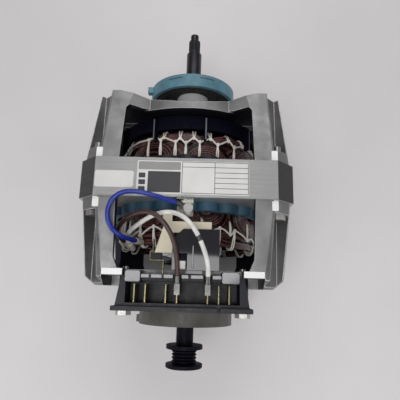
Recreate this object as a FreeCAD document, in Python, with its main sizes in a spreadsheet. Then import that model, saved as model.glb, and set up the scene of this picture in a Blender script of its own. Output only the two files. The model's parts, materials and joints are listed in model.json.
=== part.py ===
import FreeCAD, Part
import math
import os
import Sketcher
from FreeCAD import Placement, Rotation, Vector

# Open-frame dryer motor with a pulley at the front and a stepped blower shaft at the rear.
# Frame: X to the right, Y along the shaft toward the rear end, Z up. The origin is on the
# shaft axis, in the middle of the stator stack. Lengths are millimetres.

doc = FreeCAD.newDocument("DryerMotor")
sheet = doc.addObject("Spreadsheet::Sheet", "Sheet")

SIZES = {
    # how far cuts run past the material they remove
    "cut_margin": 1.0,
    "cut_beyond": 5.0,
    # stator stack
    "stack_half": 12.7,
    "core_half": 70.0,
    "core_corner": 12.0,
    "stator_bore": 39.2,
    "slot_count": 24,
    "slot_mouth": 1.5,
    "slot_lip": 41.0,
    "slot_narrow": 2.9,
    "slot_wide": 4.6,
    "wedge_side_gap": 0.2,
    "wedge_overhang": 0.8,
    "insulator_tall": 6.0,
    "insulator_gap": 0.5,
    "lobe_share": 0.15,
    "lobe_inset": 1.8,
    # windings
    "main_wire": 3.6,
    "main_slot_radius": 52.5,
    "main_crown_radius": 50.0,
    "start_wire": 3.2,
    "start_slot_radius": 45.5,
    "start_crown_radius": 44.5,
    "wire_seat_gap": 0.2,
    "slot_exit": 1.8,
    # end shields
    "shield_wall": 3.8,
    "shield_face": 68.4,
    "shield_flat": 55.4,
    "shield_bevel_side": 4.6,
    "shield_bevel_drop": 1.6,
    "rear_face_taper": 0.118,
    "rear_flat_taper": 0.063,
    "front_face_taper": 0.086,
    "front_flat_taper": 0.111,
    "channel_wall": 3.5,
    "channel_below_bolt": 6.65,
    "channel_deep": 18.5,
    "channel_foot": 7.8,
    "channel_end": 6.7,
    "collar_tall": 8.0,
    "rear_deep": 63.2,
    "rear_wall_low": 51.1,
    "valley_low": 54.6,
    "valley_knee_side": 18.0,
    "valley_knee": 56.8,
    "valley_edge_side": 46.0,
    "valley_edge": 62.9,
    "rim_radius": 64.0,
    "rim_band": 3.5,
    "rim_low": 50.4,
    "recess_corner_gap": 3.6,
    "recess_floor_side": 27.0,
    "recess_floor": 58.0,
    "recess_low": 47.0,
    "pocket_start": 26.0,
    "pocket_low": 55.0,
    "window_foot": 43.5,
    "window_side": 42.3,
    "window_corner_side": 40.0,
    "window_corner": 52.5,
    "window_shoulder": 50.0,
    "front_deep": 67.5,
    "front_shoulder": 62.0,
    "front_crown_face": 58.0,
    "front_crown_flat": 46.0,
    "front_cavity": 62.5,
    "front_window_near": 57.0,
    "front_window_far": 55.0,
    "front_window_splay": 0.5,
    "front_window_corner_side": 3.0,
    "front_window_corner_long": 7.0,
    "bay_side": 50.0,
    "bay_floor": 34.0,
    "bay_floor_wall": 4.0,
    "bay_face": 61.0,
    "bay_wall": 4.0,
    "bay_notch_side": 37.0,
    "bay_notch_floor": 53.0,
    "bay_bar_top": 65.0,
    "vent_low": 24.0,
    "vent_high": 42.0,
    "vent_low_side": 10.0,
    "vent_high_side": 16.0,
    "vent_rib": 3.0,
    # hubs and bearings
    "hub_radius": 13.0,
    "hub_end": 93.0,
    "hub_cone_radius": 20.0,
    "hub_cone_end": 60.0,
    "front_cone_long": 6.0,
    "hub_bore": 9.55,
    "hub_lip_bore": 7.0,
    "bearing_seat": 84.0,
    "bearing_long": 16.0,
    "bearing_barrel": 9.5,
    "bearing_end_radius": 8.4,
    "running_gap": 0.05,
    "wick_gap": 0.5,
    "washer_gap": 1.0,
    "wick_long": 6.0,
    "wick_bore": 6.8,
    "wick_radius": 9.4,
    "retainer_thick": 1.0,
    "retainer_bore": 7.2,
    "washer_radius": 9.0,
    "washer_thick": 1.5,
    # through bolts
    "bolt_inset": 10.5,
    "bolt_radius": 2.4,
    "bolt_hole": 2.6,
    "bolt_head_flats": 8.0,
    "bolt_head_tall": 3.5,
    "bolt_reach": 4.4,
    # shaft
    "shaft_radius": 6.35,
    "shaft_shoulder": 95.0,
    "pulley_seat_radius": 4.75,
    "front_tip": 124.0,
    "slinger_gap": 1.0,
    "slinger_groove_long": 1.2,
    "slinger_groove_deep": 0.4,
    "rear_journal_end": 131.4,
    "rear_chamfer": 1.2,
    "rear_chamfer_drop": 0.72,
    "neck_end": 134.2,
    "neck_radius": 4.3,
    "thread_radius": 4.95,
    "thread_end": 145.0,
    "tip_radius": 3.45,
    "rear_tip": 150.7,
    "tip_chamfer": 0.5,
    # pulley
    "pulley_bore_gap": 0.05,
    "sleeve_radius": 6.35,
    "flange_radius": 13.5,
    "inner_flange_start": 108.6,
    "flange_thick": 2.6,
    "rib_valley": 7.9,
    "rib_peak": 9.1,
    "rib_pitch": 2.34,
    "rib_count": 4,
    "rib_side_gap": 0.6,
    "rib_flat_half": 0.28,
    "flange_chamfer": 0.5,
    # mount rings
    "ring_radius": 34.5,
    "ring_inner": 31.8,
    "ring_start": 83.2,
    "ring_end": 93.5,
    "ring_lip_radius": 26.0,
    "ring_lip_thick": 3.0,
    "cushion_start": 85.6,
    "cushion_web_start": 88.6,
    "cushion_web_radius": 24.0,
    "cushion_end": 92.4,
    "cushion_gap": 0.1,
    "tab_out": 2.0,
    "tab_in": 2.5,
    "tab_tall": 5.0,
    "tab_long": 5.5,
    "tab_inset": 0.5,
    "rear_tab_height": 10.5,
    # rotor
    "rotor_radius": 38.8,
    "bar_count": 28,
    "bar_place": 33.5,
    "bar_hole": 2.0,
    "bar_radius": 1.95,
    "cage_inner": 27.0,
    "cage_outer": 36.5,
    "cage_end": 19.5,
    "fan_hub_radius": 12.0,
    "fan_hub_start": 42.5,
    "fan_disc_start": 47.2,
    "fan_disc_end": 49.2,
    "fan_skirt_radius": 54.6,
    "fan_skirt_wall": 1.6,
    "fan_skirt_start": 39.5,
    "blade_count": 10,
    "blade_tip_radius": 58.8,
    "blade_thick": 1.2,
    "blade_root": 0.4,
    "blade_start": 30.6,
    "blade_shoulder": 46.4,
    "blade_shoulder_drop": 3.4,
    "blade_turn": 11.7,
    # governor
    "base_hub_radius": 10.0,
    "base_hub_start": 24.0,
    "base_hub_end": 31.0,
    "base_plate_thick": 2.0,
    "base_plate_side": 26.0,
    "base_ear_side": 14.5,
    "base_ear_in": 8.0,
    "base_ear_out": 9.5,
    "base_ear_end": 43.0,
    "pin_side": 22.0,
    "pin_depth": 40.0,
    "pin_radius": 1.5,
    "pin_half": 14.0,
    "weight_half": 7.5,
    "weight_in": 19.0,
    "weight_out": 26.0,
    "weight_start": 27.0,
    "weight_pivot_wall": 3.2,
    "weight_neck": 3.0,
    "toe_side": 11.0,
    "toe_depth": 44.0,
    "toe_radius": 2.0,
    "toe_neck_gap": 0.6,
    "collar_hub_radius": 8.0,
    "collar_start": 39.7,
    "collar_face": 50.0,
    "collar_rim_radius": 13.0,
    "collar_rim_end": 41.6,
    "collar_flange_radius": 19.0,
    "collar_flange_thick": 2.0,
    "collar_groove_end": 46.4,
    "spring_wire": 0.7,
    "spring_radius": 2.3,
    "spring_pitch": 1.25,
    "spring_turns": 2.5,
    "spring_gap": 0.15,
    # switch lever
    "lever_pivot_depth": 52.0,
    "lever_pivot_height": 58.0,
    "lever_pin_radius": 1.2,
    "lever_hub_radius": 2.4,
    "lever_gap": 0.3,
    "lever_thick": 2.0,
    "lever_left": 5.0,
    "lever_right": 15.0,
    "lever_waist": 10.0,
    "lever_neck": 18.0,
    "lever_foot": 12.0,
    "lever_foot_half": 4.0,
    "lever_side_gap": 0.3,
    "lug_thick": 1.8,
    "lug_half": 3.0,
    "lug_drop": 3.0,
    # switch
    "switch_half": 38.0,
    "switch_half_end": 41.0,
    "switch_bottom": 40.0,
    "switch_top": 62.0,
    "switch_wall": 3.0,
    "switch_floor": 47.0,
    "switch_flange_half": 42.6,
    "switch_flange_start": 79.3,
    "switch_flange_end": 82.0,
    "switch_flange_bottom": 34.0,
    "switch_flange_top": 66.0,
    "switch_flange_slot": 22.0,
    "switch_flange_slot_half": 1.0,
    "switch_flange_slot_deep": 8.0,
    "switch_back_wall": 2.0,
    "block_left": 35.2,
    "block_left_in": 25.6,
    "block_right_in": 23.7,
    "block_right": 34.6,
    "block_start": 58.0,
    "block_end": 65.0,
    "rail_half": 26.0,
    "rail_start": 60.0,
    "rail_end": 62.5,
    "rail_bottom": 55.0,
    "rail_top": 65.0,
    "lead_notch_half": 2.4,
    "lead_notch_floor": 57.0,
    "blade_metal": 0.8,
    "blade_near": 66.0,
    "blade_far": 77.0,
    "blade_top": 63.0,
    "screw_side": 38.0,
    "screw_height": 48.0,
    "screw_radius": 1.9,
    "screw_tip": 55.0,
    "screw_head_flats": 8.6,
    "screw_head_tall": 3.5,
    "screw_boss": 3.6,
    "screw_clearance": 0.15,
    # switch cover, board, spring and protector
    "cover_left": 7.0,
    "cover_right": 22.0,
    "cover_near": 32.0,
    "cover_far": 57.3,
    "cover_bottom": 63.2,
    "cover_top": 66.0,
    "cover_corner": 6.5,
    "cover_fin_side": 5.8,
    "cover_fin_thick": 0.8,
    "cover_fin_near": 42.4,
    "cover_fin_far": 56.0,
    "cover_fin_tall": 1.6,
    "cover_notch_left": 3.1,
    "cover_notch_right": 2.3,
    "cover_notch_near": 47.0,
    "cover_notch_far": 49.0,
    "cover_notch_deep": 1.2,
    "tongue_half": 5.0,
    "tongue_side": 7.0,
    "tongue_start": 55.5,
    "tongue_tall": 3.2,
    "board_thick": 1.4,
    "board_left": 12.4,
    "board_right": 17.0,
    "board_near": 27.0,
    "board_far": 34.0,
    "panel_left": 18.0,
    "panel_far": 46.8,
    "flap_left": 14.0,
    "flap_right": 8.0,
    "flap_near": 22.0,
    "strip_thick": 0.5,
    "strip_bottom": 58.0,
    "strip_top": 64.0,
    "strip_near": 38.4,
    "strip_side": 19.0,
    "strip_jog": 46.2,
    "strip_far_side": 20.6,
    "strip_turn": 51.6,
    "strip_tail_side": 12.4,
    "strip_rail_gap": 0.1,
    "protector_gap": 0.05,
    "protector_right": 13.6,
    "protector_near": 47.0,
    "protector_top": 63.5,
    # ground clip
    "clip_half": 5.2,
    "clip_thick": 1.5,
    "clip_bottom": 64.0,
    "clip_top": 71.4,
    "clip_reach": 24.0,
    "ground_side": 2.0,
    "ground_depth": 19.0,
    "ground_shank": 1.2,
    "ground_head": 3.0,
    "ground_head_tall": 2.4,
    "ground_below": 2.2,
    # stickers
    "label_thick": 0.15,
    "rating_left": 31.1,
    "rating_right": 39.8,
    "rating_front": 11.2,
    "rating_rear": 10.6,
    "tag_left": 57.6,
    "tag_right": 32.9,
    "tag_front": 7.4,
    "tag_rear": 3.6,
    # leads
    "lead_width": 3.0,
    "splice_radius": 2.1,
    "splice_long": 6.0,
    "crimp_radius": 1.8,
    "crimp_overlap": 1.0,
    "ring_terminal_radius": 3.1,
    "ring_terminal_thick": 0.6,
    "ring_barrel": 3.6,
    "ring_tongue": 2.4,
    "ring_tongue_gap": 1.8,
    "receptacle_half": 1.7,
    "receptacle_slot": 0.5,
    "receptacle_near": 64.3,
    "receptacle_far": 72.0,
    "receptacle_bottom": 57.5,
    "receptacle_top": 65.4,
}

TERMINAL_SIDES = (-29.4, -22.7, -10.2, -3.3, 15.3, 22.0, 28.4)
BROWN_TERMINAL = 3
WHITE_TERMINAL = 4

for row, (name, number) in enumerate(SIZES.items(), start=1):
    sheet.set("A%d" % row, name)
    sheet.set("B%d" % row, str(number))
    sheet.setAlias("B%d" % row, name)
doc.recompute()


class Size:
    """A number together with the sheet formula that gives it."""

    def __init__(self, value, formula):
        self.value = value
        self.formula = formula

    def __add__(self, other):
        return combine(self, "+", as_size(other))

    def __radd__(self, other):
        return combine(as_size(other), "+", self)

    def __sub__(self, other):
        return combine(self, "-", as_size(other))

    def __rsub__(self, other):
        return combine(as_size(other), "-", self)

    def __mul__(self, other):
        return combine(self, "*", as_size(other))

    def __rmul__(self, other):
        return combine(as_size(other), "*", self)

    def __truediv__(self, other):
        return combine(self, "/", as_size(other))

    def __neg__(self):
        return Size(-self.value, "(-%s)" % self.formula)


def as_size(thing):
    """Turn a plain number into a size."""
    if isinstance(thing, Size):
        return thing
    return Size(float(thing), "(%.6f)" % thing)


def combine(left, sign, right):
    """Work out a sum, difference, product or quotient, as a number and as a formula."""
    results = {
        "+": left.value + right.value,
        "-": left.value - right.value,
        "*": left.value * right.value,
    }
    value = left.value / right.value if sign == "/" else results[sign]
    return Size(value, "(%s %s %s)" % (left.formula, sign, right.formula))


class Sizes:
    """Every size of the sheet by its name."""

    def __init__(self, table):
        for name, number in table.items():
            setattr(self, name, Size(float(number), "Sheet.%s" % name))


S = Sizes(SIZES)


class Circle:
    """A circle in a sketch: its centre and its radius."""

    def __init__(self, across, up, radius):
        self.across = as_size(across)
        self.up = as_size(up)
        self.radius = as_size(radius)


def bind(sketch, key, geometry, point, size):
    """Add one dimension to a sketch and bind it to the sheet."""
    if point:
        rule = Sketcher.Constraint(key, geometry, point, size.value)
    else:
        rule = Sketcher.Constraint(key, geometry, size.value)
    number = sketch.addConstraint(rule)
    sketch.setExpression("Constraints[%d]" % number, size.formula)


def draw(sketch, outline):
    """Draw a circle or a closed polygon, each point bound to the sheet."""
    first = sketch.GeometryCount
    if isinstance(outline, Circle):
        centre = Vector(outline.across.value, outline.up.value, 0)
        sketch.addGeometry(Part.Circle(centre, Vector(0, 0, 1), outline.radius.value), False)
        bind(sketch, "DistanceX", first, 3, outline.across)
        bind(sketch, "DistanceY", first, 3, outline.up)
        bind(sketch, "Radius", first, 0, outline.radius)
        return
    corners = [(as_size(across), as_size(up)) for across, up in outline]
    count = len(corners)
    vectors = [Vector(across.value, up.value, 0) for across, up in corners]
    for index in range(count):
        line = Part.LineSegment(vectors[index], vectors[(index + 1) % count])
        sketch.addGeometry(line, False)
    for index in range(count):
        following = first + (index + 1) % count
        sketch.addConstraint(Sketcher.Constraint("Coincident", first + index, 2, following, 1))
    for index, (across, up) in enumerate(corners):
        bind(sketch, "DistanceX", first + index, 1, across)
        bind(sketch, "DistanceY", first + index, 1, up)


class Piece:
    """One sub-part: a body whose sketches are bound to the sheet.

    Sketch planes: "XZ" holds (x, z) and is extruded along Y, "XY" holds (x, y) and is
    extruded along Z, "YZ" holds (y, z) and is extruded along X.
    """

    def __init__(self, label):
        self.body = doc.addObject("PartDesign::Body", label)
        self.body.Label = label

    def origin(self, role):
        return [item for item in self.body.Origin.OriginFeatures if item.Role == role][0]

    def sketch(self, plane, outlines, height):
        """Put outlines on a plane at a height along its axis."""
        sketch = self.body.newObject("Sketcher::SketchObject", "Outline")
        sketch.AttachmentSupport = [(self.origin(plane + "_Plane"), "")]
        sketch.MapMode = "FlatFace"
        offset = -as_size(height) if plane == "XZ" else as_size(height)
        sketch.AttachmentOffset = Placement(Vector(0, 0, offset.value), Rotation())
        sketch.setExpression(".AttachmentOffset.Base.z", offset.formula)
        for outline in outlines:
            draw(sketch, outline)
        return sketch

    def turn(self, outline, cut=False):
        """Turn an outline of (radius, y) points about the Y axis."""
        kind = "PartDesign::Groove" if cut else "PartDesign::Revolution"
        feature = self.body.newObject(kind, "Turned")
        sketch = self.sketch("XY", [outline], 0)
        feature.Profile = (sketch, [""])
        feature.ReferenceAxis = (sketch, ["V_Axis"])
        feature.Angle = 360.0
        return feature

    def slab(self, plane, outlines, low, high, cut=False):
        """Extrude outlines from low to high along the axis of their plane."""
        low = as_size(low)
        high = as_size(high)
        kind = "PartDesign::Pocket" if cut else "PartDesign::Pad"
        sketch = self.sketch(plane, outlines, high if plane == "XZ" else low)
        feature = self.body.newObject(kind, "Slab")
        feature.Profile = (sketch, [""])
        feature.Length = high.value - low.value
        feature.setExpression("Length", (high - low).formula)
        feature.Reversed = cut
        return feature

    def block(self, left, right, front, rear, bottom, top, cut=False):
        """Add or cut a box between six faces."""
        outline = [(left, front), (right, front), (right, rear), (left, rear)]
        return self.slab("XY", [outline], bottom, top, cut)

    def loft(self, sections, cut=False):
        """Join outlines of (x, z) points at several places along Y."""
        kind = "PartDesign::SubtractiveLoft" if cut else "PartDesign::AdditiveLoft"
        sketches = [self.sketch("XZ", [outline], place) for place, outline in sections]
        feature = self.body.newObject(kind, "Loft")
        feature.Profile = (sketches[0], [""])
        feature.Sections = sketches[1:]
        feature.Ruled = True
        return feature

    def around(self, features, count):
        """Repeat features evenly about the Y axis."""
        doc.recompute()
        pattern = self.body.newObject("PartDesign::PolarPattern", "Copies")
        pattern.Originals = features
        pattern.Axis = (self.origin("Y_Axis"), [""])
        pattern.Angle = 360.0
        count = as_size(count)
        pattern.Occurrences = int(count.value)
        pattern.setExpression("Occurrences", count.formula)
        self.body.Tip = pattern
        doc.recompute()
        return pattern


# Outlines

def octagon(half, corner):
    """A square of half width `half` with its corners cut back by `corner`."""
    side = half - corner
    return [(-side, -half), (side, -half), (half, -side), (half, side),
            (side, half), (-side, half), (-half, side), (-half, -side)]


def four_faces(quarter):
    """Complete an outline from the points of its first quarter, turning it about the centre."""
    outline = []
    for across, up in quarter:
        outline.append((across, up))
    for across, up in quarter:
        outline.append((up, -across))
    for across, up in quarter:
        outline.append((-across, -up))
    for across, up in quarter:
        outline.append((-up, across))
    return outline


def hexagon(across, up, flats):
    """A hexagon with two flats facing up and down."""
    reach = flats / math.sqrt(3)
    corners = [math.radians(60 * step) for step in range(6)]
    return [(across + reach * math.cos(turn), up + reach * math.sin(turn)) for turn in corners]


def rectangle(left, right, low, high):
    return [(left, low), (right, low), (right, high), (left, high)]


def along(side, near, far):
    """Two places along Y, on the rear side (1) or the front side (-1), in rising order."""
    near = as_size(near)
    far = as_size(far)
    return (near, far) if side > 0 else (-far, -near)


def mirrored(side, outline):
    """An outline of (radius, distance) points, on the rear side (1) or the front side (-1)."""
    return [(radius, as_size(distance) * side) for radius, distance in outline]


# Stator

WEDGE_TOP = S.start_slot_radius - S.start_wire / 2 - S.wire_seat_gap
SLOT_BOTTOM = S.main_slot_radius + S.main_wire / 2 + S.wire_seat_gap
INSULATOR_FACE = S.stack_half + S.insulator_tall
INSULATOR_BORE = SLOT_BOTTOM + S.insulator_gap
LOBE_PLACE = INSULATOR_BORE - S.lobe_inset
LOBE_RADIUS = LOBE_PLACE * S.lobe_share
BOLT_PLACE = S.core_half - S.bolt_inset


def stator_core():
    core = Piece("stator_core")
    core.slab("XZ", [octagon(S.core_half, S.core_corner)], -S.stack_half, S.stack_half)
    core.slab("XZ", [Circle(0, 0, S.stator_bore)], -S.stack_half, S.stack_half, cut=True)
    inside = S.stator_bore - S.cut_margin
    slot = [(-S.slot_mouth, inside), (S.slot_mouth, inside), (S.slot_mouth, S.slot_lip),
            (S.slot_narrow, S.slot_lip), (S.slot_wide, SLOT_BOTTOM), (-S.slot_wide, SLOT_BOTTOM),
            (-S.slot_narrow, S.slot_lip), (-S.slot_mouth, S.slot_lip)]
    slots = core.slab("XZ", [slot], -S.stack_half, S.stack_half, cut=True)
    core.around([slots], S.slot_count)
    hole = Circle(BOLT_PLACE, BOLT_PLACE, S.bolt_hole)
    holes = core.slab("XZ", [hole], -S.stack_half, S.stack_half, cut=True)
    core.around([holes], 4)
    return core.body


def slot_wedges():
    """Strips that close the slots, below the start winding."""
    wedges = Piece("slot_wedges")
    half = S.slot_narrow - S.wedge_side_gap
    reach = S.stack_half + S.wedge_overhang
    strip = wedges.slab("XZ", [rectangle(-half, half, S.slot_lip, WEDGE_TOP)], -reach, reach)
    wedges.around([strip], S.slot_count)
    return wedges.body


def slot_insulator(label, side):
    """A scalloped collar on one face of the stack."""
    collar = Piece(label)
    low, high = along(side, S.stack_half, INSULATOR_FACE)
    lobe = collar.slab("XZ", [Circle(0, LOBE_PLACE, LOBE_RADIUS)], low, high)
    collar.around([lobe], S.slot_count)
    collar.slab("XZ", [Circle(0, 0, INSULATOR_BORE)], low, high, cut=True)
    return collar.body


# Routes of wire and cord

RUN_SHARE = 0.45
RUN_SAMPLES = 6
ARC_SAMPLES = 9
NEIGHBOUR_WIDTHS = 4


def smooth_route(points):
    """Straight runs joined by tangent arcs: the edges, the arc radii and points along them."""
    vectors = [Vector(*point) for point in points]
    edges = []
    radii = []
    samples = [vectors[0]]
    start = vectors[0]
    for before, corner, after in zip(vectors, vectors[1:], vectors[2:]):
        arrive = corner - before
        leave = after - corner
        turn = arrive.getAngle(leave)
        shorter = min(arrive.Length, leave.Length)
        back = RUN_SHARE * shorter
        radius = back / math.tan(turn / 2)
        arrive.normalize()
        leave.normalize()
        arc_start = corner - arrive * back
        arc_end = corner + leave * back
        toward = (leave - arrive).normalize()
        middle = corner + toward * (radius / math.cos(turn / 2) - radius)
        edges.append(Part.LineSegment(start, arc_start).toShape())
        edges.append(Part.Arc(arc_start, middle, arc_end).toShape())
        radii.append(radius)
        samples.extend(edges[-2].discretize(RUN_SAMPLES)[1:])
        samples.extend(edges[-1].discretize(ARC_SAMPLES)[1:])
        start = arc_end
    edges.append(Part.LineSegment(start, vectors[-1]).toShape())
    samples.extend(edges[-1].discretize(RUN_SAMPLES)[1:])
    return edges, radii, samples


def tube(points, width):
    """A tube of round wire along a route."""
    edges, radii, samples = smooth_route(points)
    path = Part.Wire(edges)
    heading = Vector(*points[1]) - Vector(*points[0])
    section = Part.Wire([Part.Circle(Vector(*points[0]), heading, width / 2).toShape()])
    solid = path.makePipeShell([section], True, False)
    return solid, path.Length, radii, samples


def least_self_gap(samples, width):
    """The smallest gap between stretches of one wire that are not neighbours along it."""
    travelled = [0.0]
    for before, after in zip(samples, samples[1:]):
        travelled.append(travelled[-1] + before.distanceToPoint(after))
    least = 1000.0
    for index, here in enumerate(samples):
        for other in range(index + 1, len(samples)):
            if travelled[other] - travelled[index] > NEIGHBOUR_WIDTHS * width:
                least = min(least, here.distanceToPoint(samples[other]) - width)
    return least


def add_shape(label, shape):
    """Put a finished shape into the document as a sub-part."""
    feature = doc.addObject("Part::Feature", label)
    feature.Label = label
    feature.Shape = shape
    feature.Placement = Placement()
    return feature


# Windings: spans and poles in degrees, crown heights above the stack face in millimetres

MAIN_SPANS = (15.0, 30.0, 42.6)
MAIN_POLE = -30.0
MAIN_REAR = (11.8, 18.8, 25.8)
MAIN_FRONT = (11.8, 19.3, 26.8)
MAIN_TAIL = -20.0
START_SPANS = (15.0, 30.0)
START_POLE = 15.0
START_REAR = (8.8, 23.6)
START_FRONT = (8.8, 23.6)
START_TAIL = -8.0
POLE_COUNT = 4
CROWN_STEP = 21.0
START_STUB = 2.0


def at_angle(radius, turn, place):
    """A point at a radius, turned from +Z toward +X, and its place along Y."""
    turn = math.radians(turn)
    return (radius * math.sin(turn), place, radius * math.cos(turn))


def pole_route(centre, spans, slot_radius, crown_radius, exit_place, rear, front, tail):
    """One pole's wire: through its slots and over both crowns, from the inner coil outward."""
    points = [at_angle(slot_radius, centre - spans[0], -exit_place - START_STUB)]

    def crown(start, end, place):
        steps = max(1, round(abs(end - start) / CROWN_STEP))
        for step in range(steps + 1):
            turn = centre + start + (end - start) * step / steps
            points.append(at_angle(crown_radius, turn, place))

    for index, span in enumerate(spans):
        points.append(at_angle(slot_radius, centre - span, exit_place))
        crown(-span, span, rear[index])
        points.append(at_angle(slot_radius, centre + span, exit_place))
        points.append(at_angle(slot_radius, centre + span, -exit_place))
        if index + 1 < len(spans):
            crown(span, -spans[index + 1], -front[index])
            points.append(at_angle(slot_radius, centre - spans[index + 1], -exit_place))
        else:
            crown(span, tail, -front[index])
    return points


def winding(label, pole, spans, slot_radius, crown_radius, width, rear, front, tail):
    """Four poles of one winding, each an unbroken wire."""
    exit_place = (S.stack_half + S.slot_exit).value
    rear = [S.stack_half.value + rise for rise in rear]
    front = [S.stack_half.value + rise for rise in front]
    solids = []
    for count in range(POLE_COUNT):
        centre = pole + 360.0 / POLE_COUNT * count
        points = pole_route(centre, spans, slot_radius.value, crown_radius.value, exit_place,
                            rear, front, tail)
        solid, length, radii, samples = tube(points, width.value)
        solids.append(solid)
        if count == 0:
            gap = least_self_gap(samples, width.value)
            print("%s: least gap %.2f, least radius %.2f" % (label, gap, min(radii)))
            share = solid.Volume / (length * math.pi * width.value ** 2 / 4)
            print("%s: volume over section times length %.4f" % (label, share))
    return add_shape(label, Part.makeCompound(solids))


def main_winding():
    return winding("main_winding", MAIN_POLE, MAIN_SPANS, S.main_slot_radius,
                   S.main_crown_radius, S.main_wire, MAIN_REAR, MAIN_FRONT, MAIN_TAIL)


def start_winding():
    return winding("start_winding", START_POLE, START_SPANS, S.start_slot_radius,
                   S.start_crown_radius, S.start_wire, START_REAR, START_FRONT, START_TAIL)


# End shields

COLLAR_TOP = S.stack_half + S.collar_tall
CHANNEL_FLOOR = BOLT_PLACE * math.sqrt(2) - S.channel_below_bolt
CHANNEL_REACH = CHANNEL_FLOOR + S.channel_deep
CAVITY_CORNER = (CHANNEL_FLOOR - S.channel_wall) * math.sqrt(2)


def shield_outline(face, flat):
    """A square with a shallow bevel beside each corner and the corner itself cut off."""
    bevel = flat + S.shield_bevel_side
    dropped = face - S.shield_bevel_drop
    return four_faces([(-flat, face), (flat, face), (bevel, dropped), (dropped, bevel)])


def cavity_outline(half):
    """The inside of a shield: a square whose corners keep off the bolt channels."""
    reach = CAVITY_CORNER - half
    return four_faces([(-reach, half), (reach, half)])


def channel_outline(half_width):
    """A bolt channel across one corner, open outward."""
    corners = [(CHANNEL_FLOOR, half_width), (CHANNEL_REACH, half_width),
               (CHANNEL_REACH, -half_width), (CHANNEL_FLOOR, -half_width)]
    share = math.sqrt(0.5)
    return [((out + across) * share, (out - across) * share) for out, across in corners]


def bolt_channels(shield, side, end):
    sections = [(COLLAR_TOP * side, channel_outline(S.channel_foot)),
                (end * side, channel_outline(S.channel_end))]
    channel = shield.loft(sections, cut=True)
    shield.around([channel], 4)


def collar_holes(shield, side):
    low, high = along(side, S.stack_half, COLLAR_TOP)
    hole = Circle(BOLT_PLACE, BOLT_PLACE, S.bolt_hole)
    shield.around([shield.slab("XZ", [hole], low, high, cut=True)], 4)


def hub(shield, side, wall, cone_start, cone_end):
    """The bearing hub on the end wall, with its cone, its stepped bore and its lip."""
    boss = [(S.hub_bore, wall), (S.hub_cone_radius, wall), (S.hub_cone_radius, cone_start),
            (S.hub_radius, cone_end), (S.hub_radius, S.hub_end), (S.hub_lip_bore, S.hub_end),
            (S.hub_lip_bore, S.bearing_seat), (S.hub_bore, S.bearing_seat)]
    shield.turn(mirrored(side, boss))
    low, high = along(side, wall - S.cut_margin, S.bearing_seat)
    shield.slab("XZ", [Circle(0, 0, S.hub_bore)], low, high, cut=True)


def vents(shield, side, low, high, count):
    """Air slots in the end wall, in pairs beside each rib."""
    low, high = along(side, low, high)
    right = [(S.vent_rib, S.vent_low), (S.vent_low_side, S.vent_low),
             (S.vent_high_side, S.vent_high), (S.vent_rib, S.vent_high)]
    left = [(-across, up) for across, up in right]
    shield.around([shield.slab("XZ", [right, left], low, high, cut=True)], count)


def rear_end_shield():
    shield = Piece("rear_end_shield")
    deep = S.rear_deep - S.stack_half
    end_face = S.shield_face - S.rear_face_taper * deep
    end_flat = S.shield_flat - S.rear_flat_taper * deep
    shield.loft([(S.stack_half, shield_outline(S.shield_face, S.shield_flat)),
                 (S.rear_deep, shield_outline(end_face, end_flat))])
    bolt_channels(shield, 1, S.rear_deep + S.cut_margin)
    inner = S.shield_face - S.shield_wall
    inner_deep = S.rear_wall_low - S.stack_half
    shield.loft([(S.stack_half, cavity_outline(inner)),
                 (S.rear_wall_low, cavity_outline(inner - S.rear_face_taper * inner_deep))],
                cut=True)
    pocket_end = inner - S.rear_face_taper * inner_deep - S.cut_margin
    share = CAVITY_CORNER - pocket_end
    above = S.rear_deep + S.cut_beyond
    outside = S.shield_face + S.cut_beyond
    recess_side = share - S.recess_corner_gap
    recess_edge = end_face + S.shield_bevel_drop
    recess = [(-recess_side, recess_edge), (-S.recess_floor_side, S.recess_floor),
              (S.recess_floor_side, S.recess_floor), (recess_side, recess_edge),
              (recess_side, outside), (-recess_side, outside)]
    shield.around([shield.slab("XZ", [recess], S.recess_low, above, cut=True)], 4)
    rim_in = S.rim_radius - S.rim_band
    shield.turn([(S.hub_cone_radius, S.rear_wall_low), (rim_in, S.rear_wall_low),
                 (rim_in, S.rim_low), (S.rim_radius, S.rim_low), (S.rim_radius, S.valley_edge),
                 (S.hub_cone_radius, S.valley_edge)])
    valley_mouth = S.valley_edge_side + S.cut_margin
    valley = [(-valley_mouth, above), (-S.valley_edge_side, S.valley_edge),
              (-S.valley_knee_side, S.valley_knee), (0, S.valley_low),
              (S.valley_knee_side, S.valley_knee), (S.valley_edge_side, S.valley_edge),
              (valley_mouth, above)]
    shield.slab("XY", [valley], -outside, outside, cut=True)
    shield.slab("YZ", [[(up, across) for across, up in valley]], -outside, outside, cut=True)
    shallow = S.recess_floor - S.shield_wall
    pocket = [(S.pocket_start, S.pocket_start), (shallow, S.pocket_start),
              (shallow, S.recess_floor_side), (pocket_end, recess_side), (pocket_end, share),
              (share, pocket_end), (recess_side, pocket_end), (S.recess_floor_side, shallow),
              (S.pocket_start, shallow)]
    wall_inside = S.rear_wall_low - S.cut_margin
    shield.around([shield.slab("XZ", [pocket], wall_inside, S.pocket_low, cut=True)], 4)
    below_face = S.stack_half - S.cut_margin
    window = [(-S.window_foot, below_face), (-S.window_side, S.window_shoulder),
              (-S.window_corner_side, S.window_corner), (-S.recess_floor_side, S.rim_low),
              (S.recess_floor_side, S.rim_low), (S.window_corner_side, S.window_corner),
              (S.window_side, S.window_shoulder), (S.window_foot, below_face)]
    opening = shield.slab("XY", [window], S.window_foot + S.cut_margin, outside, cut=True)
    shield.around([opening], 4)
    hub(shield, 1, S.rear_wall_low, S.valley_low, S.hub_cone_end)
    vents(shield, 1, wall_inside, above, 4)
    collar_holes(shield, 1)
    return shield.body


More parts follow.
